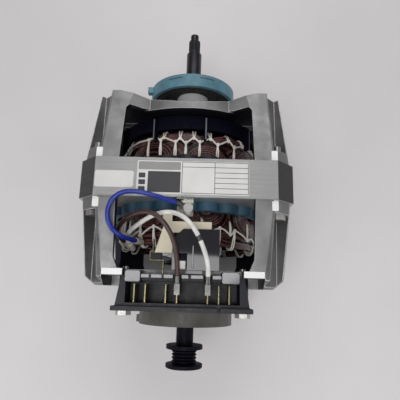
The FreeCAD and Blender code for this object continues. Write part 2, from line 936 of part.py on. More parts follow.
def front_window(end):
    """A window in the front shield's wall, with its far corners cut off."""
    foot = S.window_foot + S.front_window_splay
    far_side = S.window_foot - S.front_window_corner_side
    below_face = S.stack_half - S.cut_margin
    corner = end - S.front_window_corner_long
    return [(-foot, -below_face), (-S.window_foot, -corner), (-far_side, -end), (far_side, -end),
            (S.window_foot, -corner), (foot, -below_face)]


def front_end_shield():
    shield = Piece("front_end_shield")
    deep = S.front_shoulder - S.stack_half
    end_face = S.shield_face - S.front_face_taper * deep
    end_flat = S.shield_flat - S.front_flat_taper * deep
    shield.loft([(-S.stack_half, shield_outline(S.shield_face, S.shield_flat)),
                 (-S.front_shoulder, shield_outline(end_face, end_flat)),
                 (-S.front_deep, shield_outline(S.front_crown_face, S.front_crown_flat))])
    bolt_channels(shield, -1, S.front_deep + S.cut_margin)
    inner = S.shield_face - S.shield_wall
    near_cavity = S.bay_face - S.bay_wall
    near_half = inner - S.front_face_taper * (near_cavity - S.stack_half)
    shield.loft([(-S.stack_half, cavity_outline(inner)), (-near_cavity, cavity_outline(near_half))],
                cut=True)
    far_half = inner - S.front_face_taper * (S.front_cavity - S.stack_half)
    share = CAVITY_CORNER - far_half
    low_side = S.bay_floor - S.bay_floor_wall
    lower = [(-far_half, low_side), (-far_half, -share), (-share, -far_half),
             (share, -far_half), (far_half, -share), (far_half, low_side)]
    behind_wall = -near_cavity + S.cut_margin
    before_face = -S.bay_face - S.cut_margin
    outside = S.shield_face + S.cut_beyond
    shield.slab("XZ", [lower], -S.front_cavity, behind_wall, cut=True)
    bay = rectangle(-S.bay_side, S.bay_side, S.bay_floor, outside)
    shield.slab("XZ", [bay], -S.front_deep - S.cut_margin, -S.bay_face, cut=True)
    notch = rectangle(-S.bay_notch_side, S.bay_notch_side, S.bay_notch_floor, outside)
    shield.slab("XZ", [notch], before_face, behind_wall, cut=True)
    bar_cut = rectangle(-S.bay_side, S.bay_side, S.bay_bar_top, outside)
    shield.slab("XZ", [bar_cut], before_face, -near_cavity, cut=True)
    inside = S.window_foot + S.cut_margin
    shield.slab("XY", [front_window(S.front_window_near)], inside, outside, cut=True)
    shield.slab("XY", [front_window(S.front_window_far)], -outside, -inside, cut=True)
    side_window = [(up, across) for across, up in front_window(S.front_window_far)]
    shield.slab("YZ", [side_window], inside, outside, cut=True)
    shield.slab("YZ", [side_window], -outside, -inside, cut=True)
    hub(shield, -1, S.front_cavity, S.front_deep, S.front_deep + S.front_cone_long)
    collar_holes(shield, -1)
    for hand in (-1, 1):
        hole = Circle(S.screw_side * hand, S.screw_height, S.screw_radius + S.screw_clearance)
        shield.slab("XZ", [hole], before_face, behind_wall, cut=True)
    return shield.body


# Bolts and mount rings

def through_bolts():
    """Four long bolts that clamp both shields to the stack."""
    bolts = Piece("through_bolts")
    shank = bolts.slab("XZ", [Circle(BOLT_PLACE, BOLT_PLACE, S.bolt_radius)],
                       -COLLAR_TOP, COLLAR_TOP + S.bolt_reach)
    head = bolts.slab("XZ", [hexagon(BOLT_PLACE, BOLT_PLACE, S.bolt_head_flats)],
                      -COLLAR_TOP - S.bolt_head_tall, -COLLAR_TOP)
    bolts.around([shank, head], 4)
    return bolts.body


def mount_ring(label, side, tab_height):
    """A steel band that the cradle clamps, with an inner lip and an index tab."""
    ring = Piece(label)
    lip_start = S.ring_end - S.ring_lip_thick
    band = [(S.ring_inner, S.ring_start), (S.ring_radius, S.ring_start),
            (S.ring_radius, S.ring_end), (S.ring_lip_radius, S.ring_end),
            (S.ring_lip_radius, lip_start), (S.ring_inner, lip_start)]
    ring.turn(mirrored(side, band))
    low, high = along(side, S.ring_end - S.tab_long, S.ring_end - S.tab_inset)
    tab = rectangle(-S.ring_radius - S.tab_out, -S.ring_radius + S.tab_in,
                    tab_height - S.tab_tall / 2, tab_height + S.tab_tall / 2)
    ring.slab("XZ", [tab], low, high)
    return ring.body


def mount_cushion(label, side):
    """The rubber between a hub and its mount ring."""
    cushion = Piece(label)
    lip_start = S.ring_end - S.ring_lip_thick - S.cushion_gap
    inner = S.hub_radius + S.running_gap
    outer = S.ring_inner - S.cushion_gap
    lip_inside = S.ring_lip_radius - S.cushion_gap
    profile = [(inner, S.cushion_web_start), (S.cushion_web_radius, S.cushion_web_start),
               (S.cushion_web_radius, S.cushion_start), (outer, S.cushion_start),
               (outer, lip_start), (lip_inside, lip_start), (lip_inside, S.cushion_end),
               (inner, S.cushion_end)]
    cushion.turn(mirrored(side, profile))
    return cushion.body


# Bearings

BEARING_START = S.bearing_seat - S.bearing_long
WICK_END = BEARING_START - S.wick_gap
WICK_START = WICK_END - S.wick_long
RETAINER_END = WICK_START - S.wick_gap
RETAINER_START = RETAINER_END - S.retainer_thick
WASHER_END = RETAINER_START - S.washer_gap


def bearing(label, side):
    """A barrel-shaped sleeve bearing, seated against the lip of its hub."""
    sleeve = Piece(label)
    bore = S.shaft_radius + S.running_gap
    third = S.bearing_long / 3
    profile = [(bore, BEARING_START), (S.bearing_end_radius, BEARING_START),
               (S.bearing_barrel, BEARING_START + third), (S.bearing_barrel, S.bearing_seat - third),
               (S.bearing_end_radius, S.bearing_seat), (bore, S.bearing_seat)]
    sleeve.turn(mirrored(side, profile))
    return sleeve.body


def ring_pair(label, inner, outer, near, far):
    """The same ring on the rear and on the front side."""
    pair = Piece(label)
    for side in (1, -1):
        low, high = along(side, near, far)
        pair.slab("XZ", [Circle(0, 0, outer), Circle(0, 0, inner)], low, high)
    return pair.body


def bearing_wicks():
    return ring_pair("bearing_wicks", S.wick_bore, S.wick_radius, WICK_START, WICK_END)


def bearing_retainers():
    return ring_pair("bearing_retainers", S.retainer_bore, S.bearing_barrel,
                     RETAINER_START, RETAINER_END)


def thrust_washers():
    return ring_pair("thrust_washers", S.shaft_radius, S.washer_radius,
                     WASHER_END - S.washer_thick, WASHER_END)


# Shaft, pulley and rotor

def shaft():
    """The turned bar, with the pulley's seat in front and the oil groove, neck and thread behind."""
    bar = Piece("shaft")
    seat = S.pulley_seat_radius
    groove_start = S.hub_end + S.slinger_gap
    groove_end = groove_start + S.slinger_groove_long
    groove_floor = S.shaft_radius - S.slinger_groove_deep
    bar.turn([
        (0, -S.front_tip), (seat - S.tip_chamfer, -S.front_tip),
        (seat, -S.front_tip + S.tip_chamfer), (seat, -S.shaft_shoulder),
        (S.shaft_radius, -S.shaft_shoulder), (S.shaft_radius, groove_start),
        (groove_floor, groove_start), (groove_floor, groove_end),
        (S.shaft_radius, groove_end), (S.shaft_radius, S.rear_journal_end),
        (S.shaft_radius - S.rear_chamfer_drop, S.rear_journal_end + S.rear_chamfer),
        (S.neck_radius, S.rear_journal_end + S.rear_chamfer), (S.neck_radius, S.neck_end),
        (S.thread_radius, S.neck_end), (S.thread_radius, S.thread_end),
        (S.tip_radius, S.thread_end), (S.tip_radius, S.rear_tip - S.tip_chamfer),
        (S.tip_radius - S.tip_chamfer, S.rear_tip), (0, S.rear_tip)])
    return bar.body


def pulley():
    """A ribbed belt pulley between two flanges, with the sleeve that seats on the shaft."""
    wheel = Piece("pulley")
    bore = S.pulley_seat_radius + S.pulley_bore_gap
    inner_end = S.inner_flange_start + S.flange_thick
    first = inner_end + S.rib_side_gap
    profile = [(bore, -S.shaft_shoulder), (S.sleeve_radius, -S.shaft_shoulder),
               (S.sleeve_radius, -S.inner_flange_start),
               (S.flange_radius, -S.inner_flange_start), (S.flange_radius, -inner_end)]
    profile.append((S.rib_valley, -first))
    count = int(S.rib_count.value)
    for rib in range(count):
        middle = first + S.rib_pitch * (rib + 0.5)
        profile.append((S.rib_peak, -middle + S.rib_flat_half))
        profile.append((S.rib_peak, -middle - S.rib_flat_half))
        profile.append((S.rib_valley, -first - S.rib_pitch * (rib + 1)))
    outer_start = first + S.rib_pitch * count + S.rib_side_gap
    outer_end = outer_start + S.flange_thick
    profile += [(S.flange_radius, -outer_start), (S.flange_radius, -outer_end + S.flange_chamfer),
                (S.flange_radius - S.flange_chamfer, -outer_end), (bore, -outer_end)]
    wheel.turn(profile)
    return wheel.body


def rotor_core():
    core = Piece("rotor_core")
    core.slab("XZ", [Circle(0, 0, S.rotor_radius), Circle(0, 0, S.shaft_radius)],
              -S.stack_half, S.stack_half)
    hole = core.slab("XZ", [Circle(0, S.bar_place, S.bar_hole)], -S.stack_half, S.stack_half,
                     cut=True)
    core.around([hole], S.bar_count)
    return core.body


def rotor_cage():
    """Cast bars through the rotor core, joined by an end ring on each side."""
    cage = Piece("rotor_cage")
    ring = [Circle(0, 0, S.cage_outer), Circle(0, 0, S.cage_inner)]
    cage.slab("XZ", ring, S.stack_half, S.cage_end)
    bar = cage.slab("XZ", [Circle(0, S.bar_place, S.bar_radius)], -S.stack_half, S.stack_half)
    cage.around([bar], S.bar_count)
    cage.slab("XZ", ring, -S.cage_end, -S.stack_half)
    return cage.body


def internal_fan():
    """The cooling fan between the rotor and the rear shield."""
    fan = Piece("internal_fan")
    skirt_in = S.fan_skirt_radius - S.fan_skirt_wall
    fan.turn([(S.shaft_radius, S.fan_hub_start), (S.fan_hub_radius, S.fan_hub_start),
              (S.fan_hub_radius, S.fan_disc_start), (skirt_in, S.fan_disc_start),
              (skirt_in, S.fan_skirt_start), (S.fan_skirt_radius, S.fan_skirt_start),
              (S.fan_skirt_radius, S.fan_disc_end), (S.shaft_radius, S.fan_disc_end)])
    root = S.fan_skirt_radius - S.blade_root
    half = S.blade_thick / 2
    blade = [(S.blade_start, root), (S.blade_start, S.blade_tip_radius),
             (S.blade_shoulder, S.blade_tip_radius),
             (S.fan_disc_end, S.blade_tip_radius - S.blade_shoulder_drop),
             (S.fan_disc_end, root)]
    vane = fan.slab("YZ", [blade], -half, half)
    fan.around([vane], S.blade_count)
    fan.body.Placement = Placement(Vector(), Rotation(Vector(0, 1, 0), S.blade_turn.value))
    return fan.body


# Governor

def governor_base():
    base = Piece("governor_base")
    base.slab("XZ", [Circle(0, 0, S.base_hub_radius), Circle(0, 0, S.shaft_radius)],
              -S.base_hub_end, -S.base_hub_start)
    plate_end = S.base_hub_start + S.base_plate_thick
    plate = rectangle(-S.base_plate_side, S.base_plate_side, -S.base_ear_out, S.base_ear_out)
    base.slab("XZ", [plate, Circle(0, 0, S.shaft_radius)], -plate_end, -S.base_hub_start)
    for hand in (-1, 1):
        ear = rectangle(S.base_ear_side * hand, S.base_plate_side * hand,
                        -S.base_ear_end, -S.base_hub_start)
        base.slab("XY", [ear], S.base_ear_in, S.base_ear_out)
        base.slab("XY", [ear], -S.base_ear_out, -S.base_ear_in)
        hole = Circle(S.pin_side * hand, -S.pin_depth, S.pin_radius)
        base.slab("XY", [hole], -S.base_ear_out, S.base_ear_out, cut=True)
    return base.body


def governor_pins():
    pins = Piece("governor_pins")
    circles = [Circle(S.pin_side * hand, -S.pin_depth, S.pin_radius) for hand in (-1, 1)]
    pins.slab("XY", circles, -S.pin_half, S.pin_half)
    return pins.body


def governor_weight(label, hand):
    """A flyweight on its pin; its toe lies in the groove of the collar."""
    weight = Piece(label)
    back = S.pin_side + S.weight_pivot_wall
    neck = -S.pin_depth + S.weight_neck
    mass = [(S.weight_in, -S.weight_start), (S.weight_out, -S.weight_start),
            (S.weight_out, neck), (back, -S.pin_depth - S.weight_pivot_wall),
            (S.pin_side, -S.pin_depth - S.weight_pivot_wall),
            (S.toe_side, -S.toe_depth - S.toe_radius), (S.toe_side, -S.toe_depth + S.toe_radius),
            (S.collar_rim_radius + S.toe_neck_gap, -S.toe_depth + S.toe_radius),
            (S.weight_in, neck)]
    outline = [(across * hand, up) for across, up in mass]
    half = S.weight_half
    weight.slab("XY", [outline], -half, half)
    weight.slab("XY", [Circle(S.toe_side * hand, -S.toe_depth, S.toe_radius)], -half, half)
    bore = Circle(S.pin_side * hand, -S.pin_depth, S.pin_radius + S.running_gap)
    weight.slab("XY", [bore], -half, half, cut=True)
    return weight.body


def governor_collar():
    """The sliding collar: its groove takes the toes and its face moves the switch lever."""
    collar = Piece("governor_collar")
    bore = S.shaft_radius + S.running_gap
    flange_start = S.collar_face - S.collar_flange_thick
    collar.turn([(bore, -S.collar_face), (S.collar_flange_radius, -S.collar_face),
                 (S.collar_flange_radius, -flange_start), (S.collar_rim_radius, -flange_start),
                 (S.collar_rim_radius, -S.collar_groove_end),
                 (S.collar_hub_radius, -S.collar_groove_end),
                 (S.collar_hub_radius, -S.collar_rim_end),
                 (S.collar_rim_radius, -S.collar_rim_end),
                 (S.collar_rim_radius, -S.collar_start), (bore, -S.collar_start)])
    return collar.body


COIL_POINTS = 12


def governor_springs():
    """A coil spring round each pin, outside the ear."""
    solids = []
    width = S.spring_wire.value
    start = (S.base_ear_out + S.spring_wire / 2 + S.spring_gap).value
    total = int(S.spring_turns.value * COIL_POINTS)
    for hand in (-1, 1):
        points = []
        for step in range(total + 1):
            turn = 2 * math.pi * step / COIL_POINTS
            points.append((S.pin_side.value * hand + S.spring_radius.value * math.cos(turn),
                           -S.pin_depth.value + S.spring_radius.value * math.sin(turn),
                           start + S.spring_pitch.value * step / COIL_POINTS))
        solid, length, radii, samples = tube(points, width)
        solids.append(solid)
        if hand > 0:
            gap = least_self_gap(samples, width)
            print("governor_springs: least gap %.2f, least radius %.2f" % (gap, min(radii)))
    return add_shape("governor_springs", Part.makeCompound(solids))


# Switch lever

def switch_lever():
    """Hangs from its pin and rests against the face of the governor collar."""
    lever = Piece("switch_lever")
    face = -S.collar_face - S.lever_gap
    back = face - S.lever_thick
    pivot = S.lever_pivot_height
    waist = pivot - S.lever_waist
    neck = pivot - S.lever_neck
    arm = [(-S.lever_left, pivot), (-S.lever_left, waist), (-S.lever_foot_half, neck),
           (-S.lever_foot_half, S.lever_foot), (S.lever_foot_half, S.lever_foot),
           (S.lever_foot_half, neck), (S.lever_right, waist), (S.lever_right, pivot)]
    lever.slab("XZ", [arm], back, face)
    hub_circle = Circle(-S.lever_pivot_depth, pivot, S.lever_hub_radius)
    lever.slab("YZ", [hub_circle], -S.lever_left, S.lever_right)
    bore = Circle(-S.lever_pivot_depth, pivot, S.lever_pin_radius + S.running_gap)
    lever.slab("YZ", [bore], -S.lever_left, S.lever_right, cut=True)
    return lever.body


LUG_LEFT = S.lever_left + S.lever_side_gap
LUG_RIGHT = S.lever_right + S.lever_side_gap


def lever_pin():
    pin = Piece("lever_pin")
    circle = Circle(-S.lever_pivot_depth, S.lever_pivot_height, S.lever_pin_radius)
    pin.slab("YZ", [circle], -LUG_LEFT - S.lug_thick, LUG_RIGHT + S.lug_thick)
    return pin.body


def switch_cover():
    """The black plate over the window, with the two lugs that carry the lever pin."""
    cover = Piece("switch_cover")
    plate = [(-S.cover_left, -S.cover_far), (S.cover_right, -S.cover_far),
             (S.cover_right, -S.cover_near), (-S.cover_left + S.cover_corner, -S.cover_near),
             (-S.cover_left, -S.cover_near - S.cover_corner)]
    cover.slab("XY", [plate], S.cover_bottom, S.cover_top)
    notch_floor = S.cover_top - S.cover_notch_deep
    cover.block(-S.cover_notch_left, S.cover_notch_right, -S.cover_notch_far,
                -S.cover_notch_near, notch_floor, S.cover_top, cut=True)
    fin_half = S.cover_fin_thick / 2
    cover.block(S.cover_fin_side - fin_half, S.cover_fin_side + fin_half, -S.cover_fin_far,
                -S.cover_fin_near, S.cover_top, S.cover_top + S.cover_fin_tall)
    lug_bottom = S.lever_pivot_height - S.lug_drop
    front = -S.lever_pivot_depth - S.lug_half
    rear = -S.lever_pivot_depth + S.lug_half
    cover.block(-LUG_LEFT - S.lug_thick, -LUG_LEFT, front, rear, lug_bottom, S.cover_bottom)
    cover.block(LUG_RIGHT, LUG_RIGHT + S.lug_thick, front, rear, lug_bottom, S.cover_bottom)
    hole = Circle(-S.lever_pivot_depth, S.lever_pivot_height, S.lever_pin_radius)
    cover.slab("YZ", [hole], -LUG_LEFT - S.lug_thick, LUG_RIGHT + S.lug_thick, cut=True)
    cover.block(S.tongue_side - S.tongue_half, S.tongue_side + S.tongue_half, -S.rail_start,
                -S.tongue_start, S.cover_bottom - S.tongue_tall, S.cover_bottom)
    return cover.body


# Switch

def switch_housing():
    """The moulded switch body in the bay of the front shield."""
    housing = Piece("switch_housing")
    body = [(-S.switch_half, -S.bay_face), (S.switch_half, -S.bay_face),
            (S.switch_half_end, -S.switch_flange_start),
            (-S.switch_half_end, -S.switch_flange_start)]
    housing.slab("XY", [body], S.switch_bottom, S.switch_top)
    housing.block(-S.switch_flange_half, S.switch_flange_half, -S.switch_flange_end,
                  -S.switch_flange_start, S.switch_flange_bottom, S.switch_flange_top)
    inside = S.switch_half - S.switch_wall
    back = -S.switch_flange_start + S.switch_back_wall
    housing.block(-inside, inside, back, -S.bay_face - S.switch_wall,
                  S.switch_floor, S.switch_flange_top, cut=True)
    housing.block(-S.block_left, -S.block_left_in, -S.block_end, -S.block_start,
                  S.rail_bottom, S.switch_flange_top)
    housing.block(S.block_right_in, S.block_right, -S.block_end, -S.block_start,
                  S.rail_bottom, S.switch_flange_top)
    housing.block(-S.rail_half, S.rail_half, -S.rail_end, -S.rail_start,
                  S.rail_bottom, S.rail_top)
    for terminal in (BROWN_TERMINAL, WHITE_TERMINAL):
        middle = TERMINAL_SIDES[terminal]
        housing.block(middle - S.lead_notch_half, middle + S.lead_notch_half,
                      -S.bay_face - S.switch_wall, -S.rail_start,
                      S.lead_notch_floor, S.switch_flange_top, cut=True)
    slot = S.switch_flange_slot
    slot_half = S.switch_flange_slot_half
    slot_floor = S.switch_flange_top - S.switch_flange_slot_deep
    housing.block(slot - slot_half, slot + slot_half, -S.switch_flange_end,
                  -S.switch_flange_start, slot_floor, S.switch_flange_top, cut=True)
    for hand in (-1, 1):
        housing.slab("XZ", [Circle(S.screw_side * hand, S.screw_height, S.screw_boss)],
                     -S.switch_flange_end, -S.bay_face)
        hole = Circle(S.screw_side * hand, S.screw_height, S.screw_radius + S.running_gap)
        housing.slab("XZ", [hole], -S.switch_flange_end, -S.bay_face, cut=True)
    return housing.body


def terminal_blades():
    blades = Piece("terminal_blades")
    half = S.blade_metal / 2
    for middle in TERMINAL_SIDES:
        blades.block(middle - half, middle + half, -S.blade_far, -S.blade_near,
                     S.switch_floor, S.blade_top)
    return blades.body


def switch_screws():
    screws = Piece("switch_screws")
    for hand in (-1, 1):
        screws.slab("XZ", [Circle(S.screw_side * hand, S.screw_height, S.screw_radius)],
                    -S.switch_flange_end, -S.screw_tip)
        screws.slab("XZ", [hexagon(S.screw_side * hand, S.screw_height, S.screw_head_flats)],
                    -S.switch_flange_end - S.screw_head_tall, -S.switch_flange_end)
    return screws.body


def insulation_board():
    """The cream board under the cover, with a side panel and a folded flap."""
    board = Piece("insulation_board")
    bottom = S.cover_bottom - S.board_thick
    top = S.cover_bottom
    board.block(-S.board_left, S.board_right, -S.board_far, -S.board_near, bottom, top)
    panel = [(-S.panel_left, -S.panel_far), (-S.cover_left, -S.panel_far),
             (-S.cover_left, -S.board_near), (-S.board_left, -S.board_near)]
    board.slab("XY", [panel], bottom, top)
    board.block(-S.flap_left, -S.flap_right, -S.board_near, -S.flap_near, bottom, top)
    return board.body


def contact_spring():
    """A thin brass strip on edge: down, aside, round the protector and on to the rail."""
    strip = Piece("contact_spring")
    half = S.strip_thick / 2
    bottom = S.strip_bottom
    top = S.strip_top
    strip.block(-S.strip_side - half, -S.strip_side + half, -S.strip_jog - half,
                -S.strip_near, bottom, top)
    strip.block(-S.strip_far_side - half, -S.strip_side + half, -S.strip_jog - half,
                -S.strip_jog + half, bottom, top)
    strip.block(-S.strip_far_side - half, -S.strip_far_side + half, -S.strip_turn - half,
                -S.strip_jog + half, bottom, top)
    strip.block(-S.strip_far_side - half, -S.strip_tail_side + half, -S.strip_turn - half,
                -S.strip_turn + half, bottom, top)
    strip.block(-S.strip_tail_side - half, -S.strip_tail_side + half,
                -S.rail_start + S.strip_rail_gap, -S.strip_turn + half, bottom, top)
    return strip.body


def thermal_protector():
    block = Piece("thermal_protector")
    half = S.strip_thick / 2
    block.block(-S.strip_far_side + half + S.protector_gap, -S.protector_right,
                -S.strip_turn + half + S.protector_gap, -S.protector_near,
                S.strip_bottom, S.protector_top)
    return block.body


# Ground clip and stickers

def ground_clip():
    clip = Piece("ground_clip")
    clip.block(-S.clip_half, S.clip_half, -S.stack_half - S.clip_thick, -S.stack_half,
               S.clip_bottom, S.clip_top)
    clip.block(-S.clip_half, S.clip_half, -S.clip_reach, -S.stack_half,
               S.clip_bottom, S.clip_bottom + S.clip_thick)
    hole = Circle(S.ground_side, -S.ground_depth, S.ground_shank)
    clip.slab("XY", [hole], S.clip_bottom, S.clip_bottom + S.clip_thick, cut=True)
    return clip.body


CLIP_TABLE = S.clip_bottom + S.clip_thick
RING_TOP = CLIP_TABLE + S.ring_terminal_thick


def ground_screw():
    screw = Piece("ground_screw")
    screw.slab("XY", [Circle(S.ground_side, -S.ground_depth, S.ground_shank)],
               S.clip_bottom - S.ground_below, RING_TOP)
    screw.slab("XY", [Circle(S.ground_side, -S.ground_depth, S.ground_head)],
               RING_TOP, RING_TOP + S.ground_head_tall)
    return screw.body


def rating_label():
    label = Piece("rating_label")
    label.block(-S.rating_left, S.rating_right, -S.rating_front, S.rating_rear,
                S.core_half, S.core_half + S.label_thick)
    return label.body


def tag_label():
    label = Piece("tag_label")
    label.block(-S.tag_left, -S.tag_right, -S.tag_front, S.tag_rear,
                S.core_half, S.core_half + S.label_thick)
    return label.body


# Leads: limp wires whose points are chosen by hand

BLUE_LEAD = [
    (-5.6, -16.1, 69.1), (-12.4, -14.7, 72.5), (-19.8, -13.0, 74.8), (-26.6, -11.5, 75.8),
    (-33.4, -11.0, 75.9), (-39.6, -12.2, 75.4), (-44.4, -15.8, 74.6), (-46.8, -21.4, 73.6),
    (-46.9, -27.6, 72.6), (-44.8, -33.2, 70.8), (-40.6, -36.8, 65.8), (-36.4, -38.1, 58.4),
    (-32.2, -38.5, 51.0),
]
BROWN_LEAD = [
    (-41.4, -38.2, 42.2), (-43.6, -36.4, 45.4), (-45.2, -33.6, 50.2), (-43.4, -30.4, 56.4),
    (-38.8, -27.0, 62.2), (-32.6, -24.2, 68.0), (-25.8, -22.9, 73.0), (-18.8, -24.1, 76.0),
    (-13.0, -28.6, 76.6), (-8.4, -34.6, 75.2), (-5.4, -41.6, 72.8), (-3.9, -48.6, 70.2),
    (-3.3, -55.4, 68.3), (-3.3, -60.6, 66.8),
]
WHITE_LEAD = [
    (-37.2, -40.0, 44.2), (-38.4, -37.4, 49.4), (-36.8, -33.6, 54.6), (-32.0, -30.2, 59.0),
    (-26.0, -26.8, 62.6), (-19.8, -23.8, 66.2), (-13.0, -22.3, 69.4), (-6.2, -22.9, 71.8),
    (-0.4, -25.6, 73.2), (4.6, -30.2, 73.4), (8.6, -36.4, 72.6), (11.8, -43.2, 71.2),
    (14.2, -50.0, 69.6), (15.3, -56.2, 68.2), (15.3, -60.6, 66.8),
]


def lead(label, points):
    """One lead as a plain tube along its route."""
    solid, length, radii, samples = tube(points, S.lead_width.value)
    share = solid.Volume / (length * math.pi * S.lead_width.value ** 2 / 4)
    listed = " ".join("%.1f" % radius for radius in radii)
    print("%s: length %.1f, volume over section times length %.4f, radii %s"
          % (label, length, share, listed))
    return add_shape(label, solid)


def cylinder_between(start, end, radius):
    """A straight cylinder from one point to another."""
    return Part.makeCylinder(radius, start.distanceToPoint(end), start, end - start)


def splice_sleeves():
    """A crimped sleeve on the winding end of each lead, in line with its first run."""
    solids = []
    for points in (BLUE_LEAD[::-1], BROWN_LEAD, WHITE_LEAD):
        end = Vector(*points[0])
        back = (end - Vector(*points[1])).normalize() * S.splice_long.value
        solids.append(cylinder_between(end, end + back, S.splice_radius.value))
    return add_shape("splice_sleeves", Part.makeCompound(solids))


def crimp_terminals():
    """The receptacles on the brown and the white lead, each slotted over its blade."""
    solids = []
    half = S.receptacle_half.value
    slot = S.receptacle_slot.value
    long = S.receptacle_far.value - S.receptacle_near.value
    tall = S.receptacle_top.value - S.receptacle_bottom.value
    for terminal, points in ((BROWN_TERMINAL, BROWN_LEAD), (WHITE_TERMINAL, WHITE_LEAD)):
        middle = TERMINAL_SIDES[terminal]
        end = Vector(*points[-1])
        heading = (end - Vector(*points[-2])).normalize()
        corner = Vector(middle - half, -S.receptacle_far.value, S.receptacle_bottom.value)
        box = Part.makeBox(2 * half, long, tall, corner)
        reach = (-end.y - S.receptacle_near.value - S.crimp_overlap.value) / heading.y
        barrel = cylinder_between(end, end + heading * reach, S.crimp_radius.value)
        cut_corner = Vector(middle - slot, -S.receptacle_far.value, S.receptacle_bottom.value)
        cut_tall = S.blade_top.value + slot - S.receptacle_bottom.value
        cut = Part.makeBox(2 * slot, -S.blade_near.value + S.receptacle_far.value + slot,
                           cut_tall, cut_corner)
        solids.append(box.fuse(barrel).cut(cut).removeSplitter())
    return add_shape("crimp_terminals", Part.makeCompound(solids))


def ring_terminal():
    """The ring under the head of the ground screw, with the barrel that holds the blue lead."""
    centre = Vector(S.ground_side.value, -S.ground_depth.value, CLIP_TABLE.value)
    thick = S.ring_terminal_thick.value
    ring = Part.makeCylinder(S.ring_terminal_radius.value, thick, centre)
    start = Vector(*BLUE_LEAD[0])
    back = (start - Vector(*BLUE_LEAD[1])).normalize()
    foot = start + back * S.ring_barrel.value
    barrel = cylinder_between(start, foot, S.crimp_radius.value)
    width = S.ring_tongue.value
    corner = Vector(foot.x - width / 2, centre.y - width / 2, CLIP_TABLE.value)
    tongue = Part.makeBox(centre.x - corner.x - S.ring_tongue_gap.value,
                          foot.y + width / 2 - corner.y, thick, corner)
    post_corner = Vector(corner.x, foot.y - width / 2, CLIP_TABLE.value)
    post = Part.makeBox(width, width, foot.z - CLIP_TABLE.value, post_corner)
    hole = Part.makeCylinder(S.ground_shank.value, thick, centre)
    shape = ring.fuse([tongue, post, barrel]).cut(hole).removeSplitter()
    return add_shape("ring_terminal", shape)


# The whole motor

parts = [
    stator_core(),
    slot_wedges(),
    slot_insulator("slot_insulator_rear", 1),
    slot_insulator("slot_insulator_front", -1),
    main_winding(),
    start_winding(),
    rear_end_shield(),
    front_end_shield(),
    through_bolts(),
    mount_ring("rear_mount_ring", 1, S.rear_tab_height),
    mount_ring("front_mount_ring", -1, as_size(0)),
    mount_cushion("rear_mount_cushion", 1),
    mount_cushion("front_mount_cushion", -1),
    bearing("rear_bearing", 1),
    bearing("front_bearing", -1),
    bearing_wicks(),
    bearing_retainers(),
    thrust_washers(),
    shaft(),
    pulley(),
    rotor_core(),
    rotor_cage(),
    internal_fan(),
    governor_base(),
    governor_pins(),
    governor_springs(),
    governor_weight("governor_weight_right", 1),
    governor_weight("governor_weight_left", -1),
    governor_collar(),
    switch_lever(),
    lever_pin(),
    switch_cover(),
    switch_housing(),
    terminal_blades(),
    switch_screws(),
    insulation_board(),
    contact_spring(),
    thermal_protector(),
    ground_clip(),
    ground_screw(),
    rating_label(),
    tag_label(),
    lead("blue_lead", BLUE_LEAD),
    lead("brown_lead", BROWN_LEAD),
    lead("white_lead", WHITE_LEAD),
    splice_sleeves(),
    crimp_terminals(),
    ring_terminal(),
]
doc.recompute()

for item in doc.Objects:
    if "Invalid" in item.State or "Error" in item.State:
        raise RuntimeError("%s failed: %s" % (item.Label, item.State))

os.makedirs("parts", exist_ok=True)
for part in parts:
    shape = part.Shape
    if shape.isNull() or not shape.isValid():
        raise RuntimeError("%s has no valid shape" % part.Label)
    print("%-24s %3d solids %10.1f mm3" % (part.Label, len(shape.Solids), shape.Volume))
    shape.exportStep(os.path.join("parts", part.Label + ".step"))
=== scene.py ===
"""Looks of the open-frame dryer motor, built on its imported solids."""

import json
import math
import random

import bpy
import numpy as np
from mathutils import Matrix, Vector


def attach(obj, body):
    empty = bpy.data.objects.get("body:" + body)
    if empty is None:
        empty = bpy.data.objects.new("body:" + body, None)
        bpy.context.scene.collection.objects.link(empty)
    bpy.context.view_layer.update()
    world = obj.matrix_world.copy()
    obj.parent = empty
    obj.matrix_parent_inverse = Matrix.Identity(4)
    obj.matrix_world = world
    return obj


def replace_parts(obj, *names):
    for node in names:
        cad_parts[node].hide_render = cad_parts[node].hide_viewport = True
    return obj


MM = 0.001

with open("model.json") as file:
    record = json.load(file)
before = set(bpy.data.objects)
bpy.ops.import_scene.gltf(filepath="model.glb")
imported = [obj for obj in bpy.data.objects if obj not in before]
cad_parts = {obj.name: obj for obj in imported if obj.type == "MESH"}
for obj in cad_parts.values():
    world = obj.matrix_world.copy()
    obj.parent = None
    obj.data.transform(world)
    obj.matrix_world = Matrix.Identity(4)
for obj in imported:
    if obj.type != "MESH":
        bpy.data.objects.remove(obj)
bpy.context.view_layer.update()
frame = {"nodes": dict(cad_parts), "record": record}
nodes = frame["nodes"]
FRAME_BODY = "frame"
ROTOR_BODY = "rotor"

# Sizes shared with the solids, in millimetres

LEAD_WIDTH = 3.0
FLOOR = -70.0

# Camera: where the motor's centre lies from it in millimetres, its turns in radians, its lens

CAMERA_DISTANCE = 313.81
CAMERA_ACROSS = -8.579
CAMERA_UP = -1.328
CAMERA_PITCH = -0.2241
CAMERA_YAW = -0.0094
CAMERA_ROLL = -0.0258
FOCAL_SHARE = 390.48 / 400
SENSOR = 36.0


